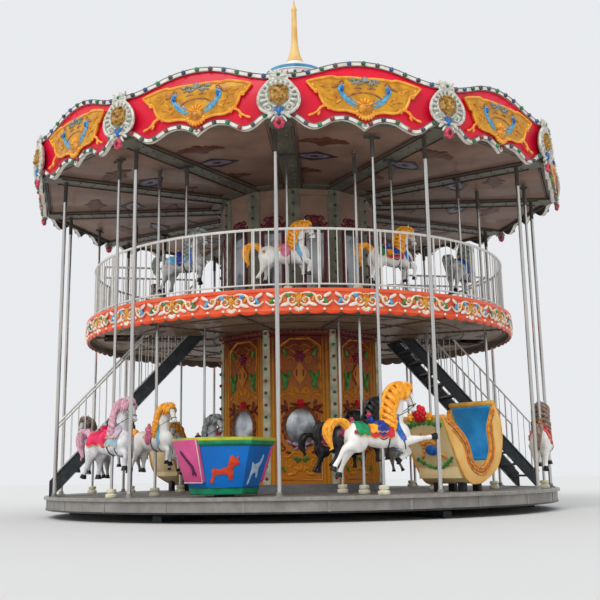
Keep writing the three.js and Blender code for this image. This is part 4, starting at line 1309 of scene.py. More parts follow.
# A moulded cloth over the back, its lower edge in scallops
def cloth(tree, low, high, reach, lift=0.006, scallops=2, depth=9.0, lean=0.0):
    columns = 22
    rows = 12
    outer, inner = [], []
    for i in range(rows + 1):
        t = i / rows
        x = low + (high - low) * t
        edge = math.radians(reach - depth + depth * abs(math.sin(math.pi * scallops * t)))
        angles = [edge * (2 * j / columns - 1) for j in range(columns + 1)]
        outer.append([onSkin(tree, x, a, lift + 0.007, lean) for a in angles])
        inner.append([onSkin(tree, x, a, -0.012, lean) for a in angles])
    return gridShell(outer, inner)


def strap(tree, x, start, end, radius, lift=0.004, lean=0.0, steps=20):
    points = [onSkin(tree, x, math.radians(start + (end - start) * i / steps), lift, lean)
              for i in range(steps + 1)]
    return rodAlong(points, radius, 8)


def saddleParts():
    seat = [ellipsoid((-0.035, 0, 0.232), (0.165, 0.112, 0.035)),
            ellipsoid((-0.175, 0, 0.262), (0.038, 0.108, 0.062)),
            ellipsoid((0.095, 0, 0.262), (0.036, 0.062, 0.055)),
            ellipsoid((-0.03, 0.15, 0.1), (0.1, 0.035, 0.125)),
            ellipsoid((-0.03, -0.15, 0.1), (0.1, 0.035, 0.125)),
            ellipsoid((-0.035, 0, 0.2), (0.13, 0.15, 0.04))]
    return fuse(seat, 0.009, 1300, "saddle", 3)


def bridle():
    parts = []
    for centre, radius in (((0.475, 0, 0.475), 0.058), ((0.4, 0, 0.66), 0.084)):
        turns = [math.tau * i / 16 for i in range(16)]
        ring = rodAlong([(radius * math.cos(a), 0.86 * radius * math.sin(a), 0) for a in turns], 0.007, 4,
                        True)
        parts.append((ring, movedBy(*centre) @ turnedBy(-0.33, "Y")))
    cheek = [(0.475, 0.052, 0.47), (0.435, 0.066, 0.57), (0.365, 0.074, 0.655), (0.31, 0.07, 0.75)]
    rein = [(0.475, 0.054, 0.455), (0.36, 0.112, 0.38), (0.2, 0.125, 0.31), (0.1, 0.075, 0.285)]
    for side in (-1, 1):
        parts += [rodAlong([(x, side * y, z) for x, y, z in run], 0.006, 4) for run in (cheek, rein)]
        parts.append(ellipsoid((0.475, side * 0.054, 0.462), (0.014, 0.008, 0.014), 2))
    return parts


def faceMarks():
    parts = []
    for side in (-1, 1):
        parts.append(ellipsoid((0.432, side * 0.068, 0.655), (0.015, 0.008, 0.013), 2))
        parts.append(ellipsoid((0.528, side * 0.028, 0.415), (0.01, 0.01, 0.014), 2))
    parts.append(ellipsoid((0.502, 0, 0.382), (0.036, 0.046, 0.005), 2))
    return parts


def rosette(x, y, z, size):
    parts = petals(x, z, size * 0.7, 0, 300, 6, size * 0.9, size * 0.7, size * 0.45)
    parts.append(ellipsoid((x, -size * 0.3, z), (size * 0.42, size * 0.4, size * 0.42), 2))
    return [(part, movedBy(0, y, 0)) for part in parts]


# Liveries: coat, mane, seat, cloths as (from, to, reach, colour), collar, and the trim of the harness
liveries = {
    "orangeMane": ("coatWhite", "maneOrange", "seatBlue",
                   [(-0.43, -0.2, 92, "clothGreen"), (-0.22, 0.13, 103, "clothRed"),
                    (-0.21, 0.03, 78, "clothYellow")], "featherDeep", "strapDark", "dropPink"),
    "caparison": ("coatPale", "manePink", "seatRose",
                  [(-0.02, 0.3, 104, "clothPale"), (-0.42, 0.02, 100, "seatRose"),
                   (0.02, 0.3, 66, "clothLilac")], "clothPale", "strapDark", "clothPale"),
    "pinkSeat": ("coatGrey", "maneBrown", "seatRose", [(-0.3, 0.12, 88, "seatRose")], "clothLilac",
                 "strapDark", "carvedGold"),
    "redBlanket": ("coatWhite", "maneBrown", "seatRed",
                   [(-0.46, 0.1, 92, "clothRed"), (-0.28, 0.08, 62, "clothYellow")], "clothRed",
                   "strapBrown", "carvedGold"),
    "yellowSeat": ("coatWhite", "maneOrange", "seatPink", [(-0.22, 0.12, 66, "clothYellow")], "clothSky",
                   "strapBrown", "carvedGold"),
    "blackHorse": ("coatBlack", "maneBlack", "seatPink",
                   [(-0.42, 0.1, 96, "clothMagenta"), (-0.24, 0.08, 64, "seatPink")], "clothMagenta",
                   "strapBrown", "dropPink"),
    "greyHorse": ("coatGrey", "maneGrey", "seatBlue", [(-0.36, 0.12, 90, "clothSky")], "featherDeep",
                  "strapDark", "carvedGold"),
    "creamHorse": ("coatCream", "maneOrange", "seatRed",
                   [(-0.4, 0.1, 86, "clothGreen"), (-0.24, 0.06, 62, "clothYellow")], "clothSky",
                   "strapBrown", "carvedGold"),
}
horseRows = {
    "outer": ["orangeMane", "redBlanket", "caparison", "creamHorse", "pinkSeat", "caparison"],
    "middle": ["blackHorse", "greyHorse", "yellowSeat", "pinkSeat", "greyHorse", "yellowSeat"],
    "inner": ["blackHorse", "orangeMane", "greyHorse", "creamHorse", "yellowSeat", "greyHorse"],
    "upper": ["greyHorse", "yellowSeat", "orangeMane", "greyHorse", "creamHorse", "greyHorse", "orangeMane",
              "redBlanket"],
}


# Everything one horse wears, as a list of (material, mesh); the locks of the tail are drawn before the mane's
def horseKit(pace, livery, seed):
    coat, mane, seat, cloths, collar, leather, trim = liveries[livery]
    chance = random.Random(seed)
    tree = skinTrees[pace]
    straps = [strap(tree, 0.06, 62, 298, 0.01), strap(tree, 0.22, -150, 150, 0.009, lean=-0.1)]
    kit = [(coat, skins[pace]), ("hoofBlack", joinMeshes(hooves(pace))), (seat, saddleShape),
           ("eyeDark", lowerNeck(joinMeshes(faceMarks()), pace)), (mane, joinMeshes(tailLocks(chance))),
           (mane, lowerNeck(joinMeshes(maneLocks(chance)), pace)),
           (leather, lowerNeck(joinMeshes(bridle()), pace)), (leather, joinMeshes(straps))]
    for i, (low, high, reach, colour) in enumerate(cloths):
        kit.append((colour, cloth(tree, low, high, reach, 0.005 + 0.007 * i, 2 + i)))
        edge = []
        for t in range(19):
            scallop = reach - 9 + 9 * abs(math.sin(math.pi * (2 + i) * t / 18))
            edge.append(onSkin(tree, low + (high - low) * t / 18, -math.radians(scallop), 0.014 + 0.007 * i))
        other = [(p.x, -p.y, p.z) for p in edge]
        kit.append(("braidGold", joinMeshes([rodAlong(edge, 0.006, 4), rodAlong(other, 0.006, 4)])))
    kit.append((collar, cloth(tree, 0.2, 0.285, 112, 0.008, 1, 4.0, -0.07)))
    jewels = []
    for x, y, z, size in ((0.27, 0.155, 0.02, 0.034), (-0.44, 0.165, 0.09, 0.03)):
        jewels += rosette(x, -y, z, size) + rosette(x, y, z, size)
    jewels += [ellipsoid((-0.19, 0, 0.335), (0.03, 0.03, 0.035), 2),
               *petals(-0.19, 0.33, 0.03, 0, 300, 6, 0.03, 0.02, 0.02)]
    kit.append((trim, joinMeshes(jewels)))
    kit.append((trim, lowerNeck(joinMeshes(rosette(0.405, 0.0, 0.77, 0.028)), pace)))
    return kit


skins = {pace: horseBody(pace) for pace in legPaths}
skinTrees = {pace: bodyTree(mesh) for pace, mesh in skins.items()}
saddleShape = saddleParts()
print("horse skins ready")


# For each row: height of the body's middle, size, drop below it, then foot, head and radius of the pole
rowForm = {"outer": (floorTop + 0.81, 1.0, 0.06, 0.15, 5.86, 0.024),
           "middle": (floorTop + 0.8, 0.88, 0.0, 0.15, 5.86, 0.024),
           "inner": (floorTop + 0.75, 0.82, 0.06, 0.351, 3.17, 0.021),
           "upper": (deckTop + 0.64, 0.82, 0.06, deckTop + 0.001, 5.78, 0.021)}


def makeHorses():
    gathered = {}
    for row, (height, size, drop, low, high, width) in rowForm.items():
        for number, angle in enumerate(upperAngles if row == "upper" else horseAngles):
            pace = "gallop" if row == "outer" and number == 0 else "prance"
            body = f"horse_{number + 1}_body" if row == "outer" else "turntable"
            group = body if row == "outer" else ("upperHorses" if row == "upper" else "innerHorses")
            seat = height - (0.04 if pace == "gallop" else drop) * size
            at = turnedTo(angle, poleReach[row]) @ movedBy(0, 0, seat) @ Matrix.Scale(size, 4)
            for material, mesh in horseKit(pace, horseRows[row][number], 31 * number + len(row)):
                gathered.setdefault((body, group, material), []).append((mesh, at))
            pole = rodAlong([(0, 0, low), (0, 0, high)], width, 16)
            gathered.setdefault((body, group, "steel"), []).append((pole, turnedTo(angle, poleReach[row])))
    nodes = {f"horse_{i}_body": [f"horse_{i}"] for i in range(1, 7)}
    nodes["innerHorses"] = [f"inner_horses_{i}" for i in range(1, 7)]
    nodes["upperHorses"] = [f"upper_horses_{i}" for i in range(1, 5)]
    for (body, group, material), parts in gathered.items():
        mesh = joinMeshes(parts)
        if group != body and material not in ("strapDark", "strapBrown", "braidGold", "steel"):
            mesh = thinned(mesh, 0.5)
        piece = place(mesh, f"{group}_{material}", material, body, 50)
        if material.startswith("coat") and group in nodes:
            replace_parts(piece, *nodes.pop(group))


makeHorses()
print("horses ready")


# Sleeves at the foot of every pole, clear of the sliding tube
def makeSleeves():
    profile = [(0.034, 0.001), (0.08, 0.001), (0.086, 0.01), (0.088, 0.046), (0.08, 0.058), (0.055, 0.062),
               (0.055, 0.07), (0.07, 0.074), (0.076, 0.088), (0.074, 0.116), (0.062, 0.13), (0.034, 0.13)]
    sleeve = closedRing(profile, 24)
    lower = [(poleReach[row], a) for row in ("outer", "middle", "inner") for a in horseAngles]
    upper = [(poleReach["upper"], a) for a in upperAngles] + [(poleReach["middle"], a) for a in horseAngles]
    for name, spots, height in (("poleSleeves", lower, floorTop), ("deckSleeves", upper, deckTop)):
        parts = [(sleeve, turnedTo(angle, reach) @ movedBy(0, 0, height)) for reach, angle in spots]
        place(joinMeshes(parts), name, "sleeveCream", smooth=30)


makeSleeves()


# Lower core: eight painted faces, lit strips on the corners, a mirror in a carved wreath on each face
core = {"faces": 8, "radius": 1.53, "apothem": 1.4135, "halfWidth": 0.5855, "top": 3.119, "plinth": 0.13,
        "bulbSpacing": 0.2, "mirrorHeight": 1.09}


def prism(radius, low, high, sides, turn):
    mesh = turnedProfile([(0, low), (radius, low), (radius, high), (0, high)], sides)
    mesh.transform(turnedBy(turn - math.pi / 2))
    return mesh


def onFaces(parts, name, material, flatten=1.0):
    mesh = setRelief(parts, core["apothem"], flatten=flatten)
    return aroundAxis(mesh, name, material, core["faces"], step=math.tau / core["faces"])


def ellipseLine(x, z, wide, tall, steps=40):
    turns = [math.tau * i / steps for i in range(steps)]
    return [(x + wide * math.cos(a), 0, z + tall * math.sin(a)) for a in turns]


def makeLowerCore():
    corner = math.pi / core["faces"]
    wall = prism(core["radius"] - 0.004, floorTop + 0.001, core["top"], 8, corner)
    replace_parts(place(wall, "coreWalls", "corePaint", smooth=None), "lower_core_wall_1", "lower_core_wall_2")
    plinth = prism(core["radius"] + 0.012, floorTop + 0.001, floorTop + core["plinth"], 8, corner)
    place(plinth, "corePlinth", "floorPlate", smooth=None)
    height = core["top"] - floorTop
    half = core["halfWidth"]
    strips = bothSides([boxMesh((half - 0.07, -0.014, core["plinth"]), (half + 0.004, 0.002, height - 0.002),
                                0.004)])
    onFaces(strips, "coreStrips", "stripCream")
    reach = -core["radius"] - 0.008
    points = [(0, reach, floorTop + core["plinth"] + 0.1), (0, reach, core["top"] - 0.08)]
    for phase, colour in enumerate(("bulbRed", "bulbGreen")):
        caps = capsAlong(points, core["bulbSpacing"], 2, phase, colour, "coreBulbs")
        aroundAxis(caps, "coreBulbs_" + colour, colour, core["faces"], corner, 2 * corner)
    rails = []
    for x, radius in ((0.4, 0.02), (0.465, 0.024), (0.5, 0.012)):
        rails += bothSides([rodAlong([(x, 0, core["plinth"]), (x, 0, height - 0.1)], radius, 8)])
    onFaces(rails, "corePilasters", "pilasterGold", 0.8)
    border = [(-0.355, 0, 0.2), (0.355, 0, 0.2), (0.355, 0, 2.46), (0.17, 0, 2.6), (-0.17, 0, 2.6),
              (-0.355, 0, 2.46)]
    lines = [rodAlong(border, 0.013, 6, True),
             rodAlong([(x * 0.93, 0, 0.02 + z * 0.985) for x, _, z in border], 0.006, 4, True)]
    onFaces(lines, "coreBorders", "borderOrange", 0.8)
    cornice = [boxMesh((-half + 0.06, -0.05, height - 0.1), (half - 0.06, 0.002, height - 0.002), 0.012),
               rodAlong([(-half + 0.06, -0.03, height - 0.14), (half - 0.06, -0.03, height - 0.14)], 0.018,
                        8)]
    cornice += [ellipsoid((x / 10, -0.05, height - 0.05), (0.03, 0.018, 0.03), 2) for x in range(-4, 5)]
    onFaces(cornice, "coreCornices", "corniceRed")
    eye = core["mirrorHeight"]
    glass = cutBoard([flatPoints([(x, z) for x, _, z in ellipseLine(0, eye, 0.25, 0.3)])], 0.012, 0.003)
    onFaces([glass], "coreMirrors", "mirrorGlass")
    onFaces([rodAlong(ellipseLine(0, eye, 0.285, 0.335), 0.038, 8, True)], "coreWreaths", "wreathBrown", 0.9)
    onFaces([rodAlong(ellipseLine(0, eye, 0.252, 0.302), 0.01, 6, True)], "coreWreathLines", "stripCream")
    leaves = []
    for i in range(20):
        a = math.tau * (i + 0.5) / 20
        leaves.append(leaf(0.3 * math.cos(a), eye + 0.35 * math.sin(a), math.degrees(a) + 62, 0.12, 0.045,
                           0.05))
    leaves += bothSides([leaf(0.3, 1.41, 30, 0.2, 0.075, 0.045), leaf(0.25, 1.46, 80, 0.18, 0.06, 0.04),
                         leaf(0.33, 1.34, -20, 0.14, 0.05, 0.04),
                         scroll(0.31, 0.74, 90, -1.1, 0.07, 0.018, 0.022),
                         leaf(0.12, 1.47, 15, 0.12, 0.05, 0.05)])
    onFaces(leaves, "coreWreathLeaves", "wreathRed", 0.8)
    rose = [*petals(0, 1.475, 0.045, 0, 300, 6, 0.075, 0.06, 0.055),
            ellipsoid((0, -0.03, 1.475), (0.035, 0.035, 0.035), 2)]
    onFaces(rose, "coreRoses", "roseRed")
    lilac = [*bothSides([leaf(0.09, 0.79, 15, 0.17, 0.07, 0.05), leaf(0.2, 0.83, 40, 0.15, 0.06, 0.045),
                         leaf(0.07, 0.73, -35, 0.12, 0.05, 0.04)]),
             ellipsoid((0, -0.01, 0.76), (0.05, 0.045, 0.06), 2)]
    onFaces(lilac, "coreLilacs", "lilacPaint")
    green = bothSides([leaf(0.25, 1.86, 82, 0.24, 0.1, 0.04), leaf(0.29, 1.95, 60, 0.18, 0.07, 0.035),
                       leaf(0.2, 1.97, 110, 0.18, 0.06, 0.035), leaf(0.27, 1.76, 110, 0.13, 0.055, 0.03),
                       leaf(0.075, 0.555, 12, 0.15, 0.065, 0.04), leaf(0.05, 0.52, -40, 0.1, 0.045, 0.03),
                       leaf(0.26, 2.36, 70, 0.15, 0.06, 0.03), leaf(0.3, 0.38, 60, 0.13, 0.05, 0.03)])
    onFaces(green, "coreLeaves", "leafGreen")
    diamond = flatPoints([(0, 2.19), (0.13, 2.0), (0, 1.8), (-0.13, 2.0)])
    gold = [cutBoard([diamond], 0.03, 0.008)]
    gold += bothSides([
        scroll(0.1, 1.68, 200, -1.2, 0.075, 0.018, 0.02), scroll(0.15, 2.22, 20, 1.2, 0.07, 0.016, 0.018),
        strand([(0.02, 1.58), (0.12, 1.6), (0.2, 1.66), (0.33, 1.62)], 0.022),
        leaf(0.31, 1.62, -30, 0.14, 0.05, 0.022),
        strand([(0.0, 0.63), (0.12, 0.66), (0.22, 0.58), (0.32, 0.6)], 0.018),
        scroll(0.22, 0.47, 90, 1.2, 0.07, 0.016, 0.018),
        scroll(0.09, 0.36, 180, -1.2, 0.06, 0.014, 0.016), leaf(0.16, 0.3, -10, 0.16, 0.055, 0.022),
        strand([(0.0, 2.46), (0.1, 2.5), (0.2, 2.44), (0.31, 2.5)], 0.018),
        leaf(0.12, 2.38, 35, 0.15, 0.055, 0.022),
        leaf(0.07, 1.72, 75, 0.15, 0.05, 0.022), leaf(0.33, 2.12, 90, 0.14, 0.045, 0.02)])
    gold += petals(0, 0.34, 0.07, 30, 150, 5, 0.11, 0.045, 0.024)
    onFaces(gold, "coreArabesques", "arabesqueGold", 0.9)
    purple = [*petals(0, 2.29, 0.055, 0, 300, 6, 0.1, 0.06, 0.035),
              ellipsoid((0, -0.02, 2.29), (0.04, 0.03, 0.04), 2)]
    purple += bothSides([leaf(0.06, 2.0, 90, 0.16, 0.04, 0.045), leaf(0.3, 2.62, 20, 0.18, 0.06, 0.03),
                         leaf(0.12, 2.66, 60, 0.16, 0.06, 0.03), leaf(0.22, 0.66, 10, 0.1, 0.05, 0.03)])
    onFaces(purple, "coreBlooms", "bloomPurple")


makeLowerCore()
print("lower core ready")


# Upper core: twelve plain faces between the beams, wide lit strips, arched mirrors in dark red frames
upperCore = {"radius": 1.48, "apothem": 1.4296, "top": 5.649, "stripHalf": 0.115}


def makeUpperCore():
    reach, top, wide = upperCore["radius"], upperCore["top"], upperCore["stripHalf"]
    wall = place(prism(reach - 0.004, deckTop + 0.001, top, 12, cornerAngle(0)), "upperWalls", "upperPaint",
                 smooth=None)
    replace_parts(wall, "upper_core_wall_1", "upper_core_wall_2")
    height = top - deckTop
    strips = []
    for side in (-1, 1):
        board = boxMesh((0, -0.012, 0.05), (wide * side, 0.002, height - 0.002), 0.003)
        strips.append((board, movedBy(0, 0.002 - reach, deckTop) @ turnedBy(side * bayAngle / 2)))
    atCorners(joinMeshes(strips), "upperStrips", "upperStrip")
    points = [(0, -reach - 0.006, deckTop + 0.15), (0, -reach - 0.006, top - 0.08)]
    atCorners(capsAlong(points, 0.2, 1, 0, "bulbDark", "upperBulbs"), "upperBulbs", "bulbDark")

    def onWall(parts, name, material, flatten=1.0):
        roundTheBays(setRelief(parts, upperCore["apothem"], deckTop, flatten), name, material)

    arch = [(-0.185, 0.12), (-0.185, 1.32), (-0.19, 1.5), (-0.15, 1.63), (-0.08, 1.67), (0, 1.62)]
    line = smoothRun(arch, 3)
    whole = line + mirrored(line)[1:]
    frames = [rodAlong(runAt(whole, 0), 0.032, 8), boxMesh((-0.21, -0.05, 0.06), (0.21, 0, 0.16), 0.012)]
    frames += bothSides([scroll(0.1, 1.72, 0, 1.2, 0.075, 0.018, 0.022),
                         leaf(0.2, 1.62, 60, 0.15, 0.05, 0.03)])
    frames += petals(0, 1.7, 0.05, 30, 150, 5, 0.13, 0.05, 0.035)
    onWall(frames, "upperArches", "archRed", 0.9)
    onWall([cutBoard([whole], 0.014, 0.003)], "upperMirrors", "mirrorDim")
    skirt = [boxMesh((-0.26, -0.02, 0.001), (0.26, 0, 0.1), 0.004)]
    skirt += bothSides([rodAlong([(0.265, 0, 0.1), (0.265, 0, height - 0.12)], 0.012, 6)])
    skirt.append(rodAlong([(-0.265, 0, height - 0.12), (0.265, 0, height - 0.12)], 0.012, 6))
    onWall(skirt, "upperPanelLines", "upperStrip")


makeUpperCore()
print("upper core ready")


# Tubs: six-sided cups with a green rim and foot band, plain animal shapes on the sides, a wheel inside
tub = {"circle": 3.72, "turn": math.radians(-24.5), "slope": math.atan2(0.195, 0.7), "middle": 0.38,
       "apothem": 0.5087}
tubAngles = [math.radians(-17.8), math.radians(162.2)]
fawn = [(-0.235, -0.2), (-0.19, -0.215), (-0.15, -0.1), (-0.08, -0.075), (0.04, -0.08), (0.07, -0.16),
        (0.12, -0.16), (0.135, -0.03), (0.13, 0.04), (0.2, 0.07), (0.235, 0.12), (0.205, 0.15),
        (0.225, 0.21), (0.165, 0.19), (0.115, 0.235), (0.08, 0.19), (0.06, 0.12), (0.03, 0.045),
        (-0.1, 0.01), (-0.17, 0.03), (-0.205, -0.02), (-0.19, -0.08), (-0.215, -0.14)]
goat = [(-0.17, -0.22), (-0.13, -0.21), (-0.07, -0.07), (0.02, -0.05), (0.06, -0.12), (0.1, -0.1),
        (0.08, 0.02), (0.13, 0.08), (0.17, 0.2), (0.14, 0.21), (0.1, 0.12), (0.02, 0.09), (-0.08, 0.08),
        (-0.14, 0.11), (-0.12, 0.02), (-0.13, -0.08)]
lizard = [(0.16, -0.22), (0.19, -0.17), (0.16, -0.12), (0.14, -0.03), (0.04, 0.05), (-0.06, 0.14),
          (-0.14, 0.22), (-0.2, 0.25), (-0.2, 0.19), (-0.15, 0.15), (-0.06, 0.06), (0.03, -0.03),
          (0.07, -0.1), (0.05, -0.18), (0.09, -0.2), (0.11, -0.13), (0.13, -0.16)]


def onTubFace(mesh, corner, lift=0.0):
    turn = tub["turn"] + math.radians(30 + 60 * corner)
    return (mesh, turnedBy(turn) @ movedBy(0, -tub["apothem"] - 0.001, tub["middle"])
            @ turnedBy(tub["slope"], "X") @ movedBy(0, -lift, 0))


def hexRing(profile):
    mesh = closedRing(profile, 6)
    mesh.transform(turnedBy(tub["turn"]))
    return mesh


def makeTub(number, angle):
    body = f"tub_{number}_body"
    at = Matrix.Translation(onCircle(tub["circle"], angle, floorTop))

    def put(parts, name, material, smooth=30):
        mesh = joinMeshes(parts)
        mesh.transform(at)
        return place(mesh, f"tub{number}{name}", material, body, smooth)

    cup = turnedProfile([(0, 0.031), (0.475, 0.031), (0.698, 0.725), (0.65, 0.725), (0.535, 0.441),
                         (0.301, 0.441), (0.301, 0.091), (0, 0.091)], 6)
    cup.transform(turnedBy(tub["turn"] - math.pi / 2))
    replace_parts(put([cup], "Cup", "tubBlue"), f"tub_{number}")
    rim = [hexRing([(0.699, 0.722), (0.735, 0.742), (0.748, 0.762), (0.75, 0.784), (0.66, 0.784),
                    (0.66, 0.722)]), hexRing([(0.482, 0.029), (0.513, 0.122), (0.49, 0.124), (0.46, 0.032)])]
    put(rim, "Bands", "tubGreen")
    edge = [hexRing([(0.746, 0.782), (0.763, 0.792), (0.762, 0.826), (0.748, 0.834), (0.666, 0.834),
                     (0.656, 0.826), (0.656, 0.782)])]
    put(edge, "Lip", "tubLip")
    liner = [hexRing([(0.672, 0.8), (0.652, 0.8), (0.536, 0.449), (0.303, 0.449), (0.303, 0.443),
                      (0.541, 0.443), (0.655, 0.79)]),
             hexRing([(0.298, 0.445), (0.298, 0.094), (0.002, 0.094), (0.002, 0.098), (0.292, 0.098),
                      (0.292, 0.445)])]
    put(liner, "Liner", "tubInside")
    lines = []
    for radius, height, width in ((0.705, 0.719, 0.007), (0.518, 0.128, 0.007), (0.489, 0.04, 0.008)):
        loop = [onCircle(radius, tub["turn"] + math.tau * i / 6, height) for i in range(6)]
        lines.append(rodAlong(loop, width, 6, True))
    put(lines, "Lines", "tubDeepGreen", 60)
    foot = turnedProfile([(0, 0.001), (0.158, 0.001), (0.158, 0.012), (0.13, 0.0305), (0, 0.0305)], 32)
    put([foot], "Foot", "strapDark", 40)
    wheel = [turnedProfile([(0, 0.098), (0.07, 0.098), (0.06, 0.115), (0.028, 0.125), (0.026, 0.8),
                            (0, 0.8)], 16),
             turnedProfile([(0, 0.8), (0.19, 0.8), (0.205, 0.81), (0.205, 0.825), (0.19, 0.835),
                            (0.06, 0.84), (0, 0.85)], 32)]
    put(wheel, "Wheel", "wheelPink", 40)
    door = cutBoard([flatPoints([(-0.262, -0.17), (0.262, -0.17), (0.352, 0.452), (-0.352, 0.452)])], 0.052,
                    0.01)
    put([onTubFace(door, k) for k in (-1, 2)], "Doors", "tubPink")
    trim = rodAlong([(-0.262, -0.052, -0.17), (0.262, -0.052, -0.17), (0.352, -0.052, 0.45)], 0.008, 6)
    put([onTubFace(trim, k) for k in (-1, 2)], "DoorTrims", "trimWhite", 60)
    for figure, faces, lift, size, up, material in (
            (lizard, (-1, 2), 0.0525, 0.82, 0.1, "figurePurple"),
            (fawn, (0, 3), 0.0, 0.9, 0.0, "figureOrange"),
            (goat, (1, 4), 0.0, 1.0, 0.0, "figureWhite")):
        outline = smoothRun([Vector(p) * size + Vector((0, up)) for p in figure + figure[:1]], 3)[:-1]
        shape = cutBoard([outline], 0.012, 0.004)
        put([onTubFace(shape, k, lift) for k in faces], "Figures_" + material, material)


for number, angle in enumerate(tubAngles):
    makeTub(number + 1, angle)
print("tubs ready")


# Carriages: a curved hull open at the sides, scrolled edges, blue seats, garlands on the stern
hull = {"circle": 0.72 * crownRadius, "half": 0.43, "board": 0.04}
hullAngles = [math.radians(42.2), math.radians(222.2)]
hullKeel = [(-0.76, 1.1), (-0.615, 0.8), (-0.455, 0.46), (-0.24, 0.17), (0.01, 0.12), (0.29, 0.215),
            (0.55, 0.4), (0.672, 0.74), (0.66, 1.1), (0.52, 1.37)]
hullInside = [(0.47, 1.33), (0.59, 1.08), (0.61, 0.81), (0.535, 0.49), (0.22, 0.28), (-0.05, 0.19),
              (-0.22, 0.23), (-0.4, 0.54), (-0.56, 0.88), (-0.68, 1.09)]
hullOpening = [(0.43, 1.2), (0.33, 0.96), (0.36, 0.62), (0.21, 0.4), (0.08, 0.345), (-0.1, 0.45),
               (-0.21, 0.74), (-0.43, 0.95), (-0.6, 1.06)]
hullPads = [([(0.455, 1.29), (0.555, 1.06), (0.575, 0.81), (0.515, 0.52)],
             [(0.545, 0.5), (0.612, 0.81), (0.592, 1.085), (0.475, 1.32)]),
            ([(-0.385, 0.44), (-0.38, 0.54), (-0.535, 0.87), (-0.645, 1.05)],
             [(-0.68, 1.06), (-0.565, 0.875), (-0.41, 0.54), (-0.42, 0.45)])]


# Relief drawn in X and Z is bent onto a run of points: X goes across, Z along the run, -Y out of it
def bendOnto(mesh, run):
    lengths = [0.0]
    for a, b in zip(run, run[1:]):
        lengths.append(lengths[-1] + (b - a).length)
    for vertex in mesh.vertices:
        x, y, z = vertex.co
        i = max(k for k in range(len(run) - 1) if k == 0 or lengths[k] <= z)
        t = (z - lengths[i]) / (lengths[i + 1] - lengths[i])
        along = (run[i + 1] - run[i]).normalized()
        spot = run[i].lerp(run[i + 1], t) + Vector((-along.y, along.x)) * y
        vertex.co = (spot.x, x, spot.y)
    mesh.flip_normals()
    return mesh


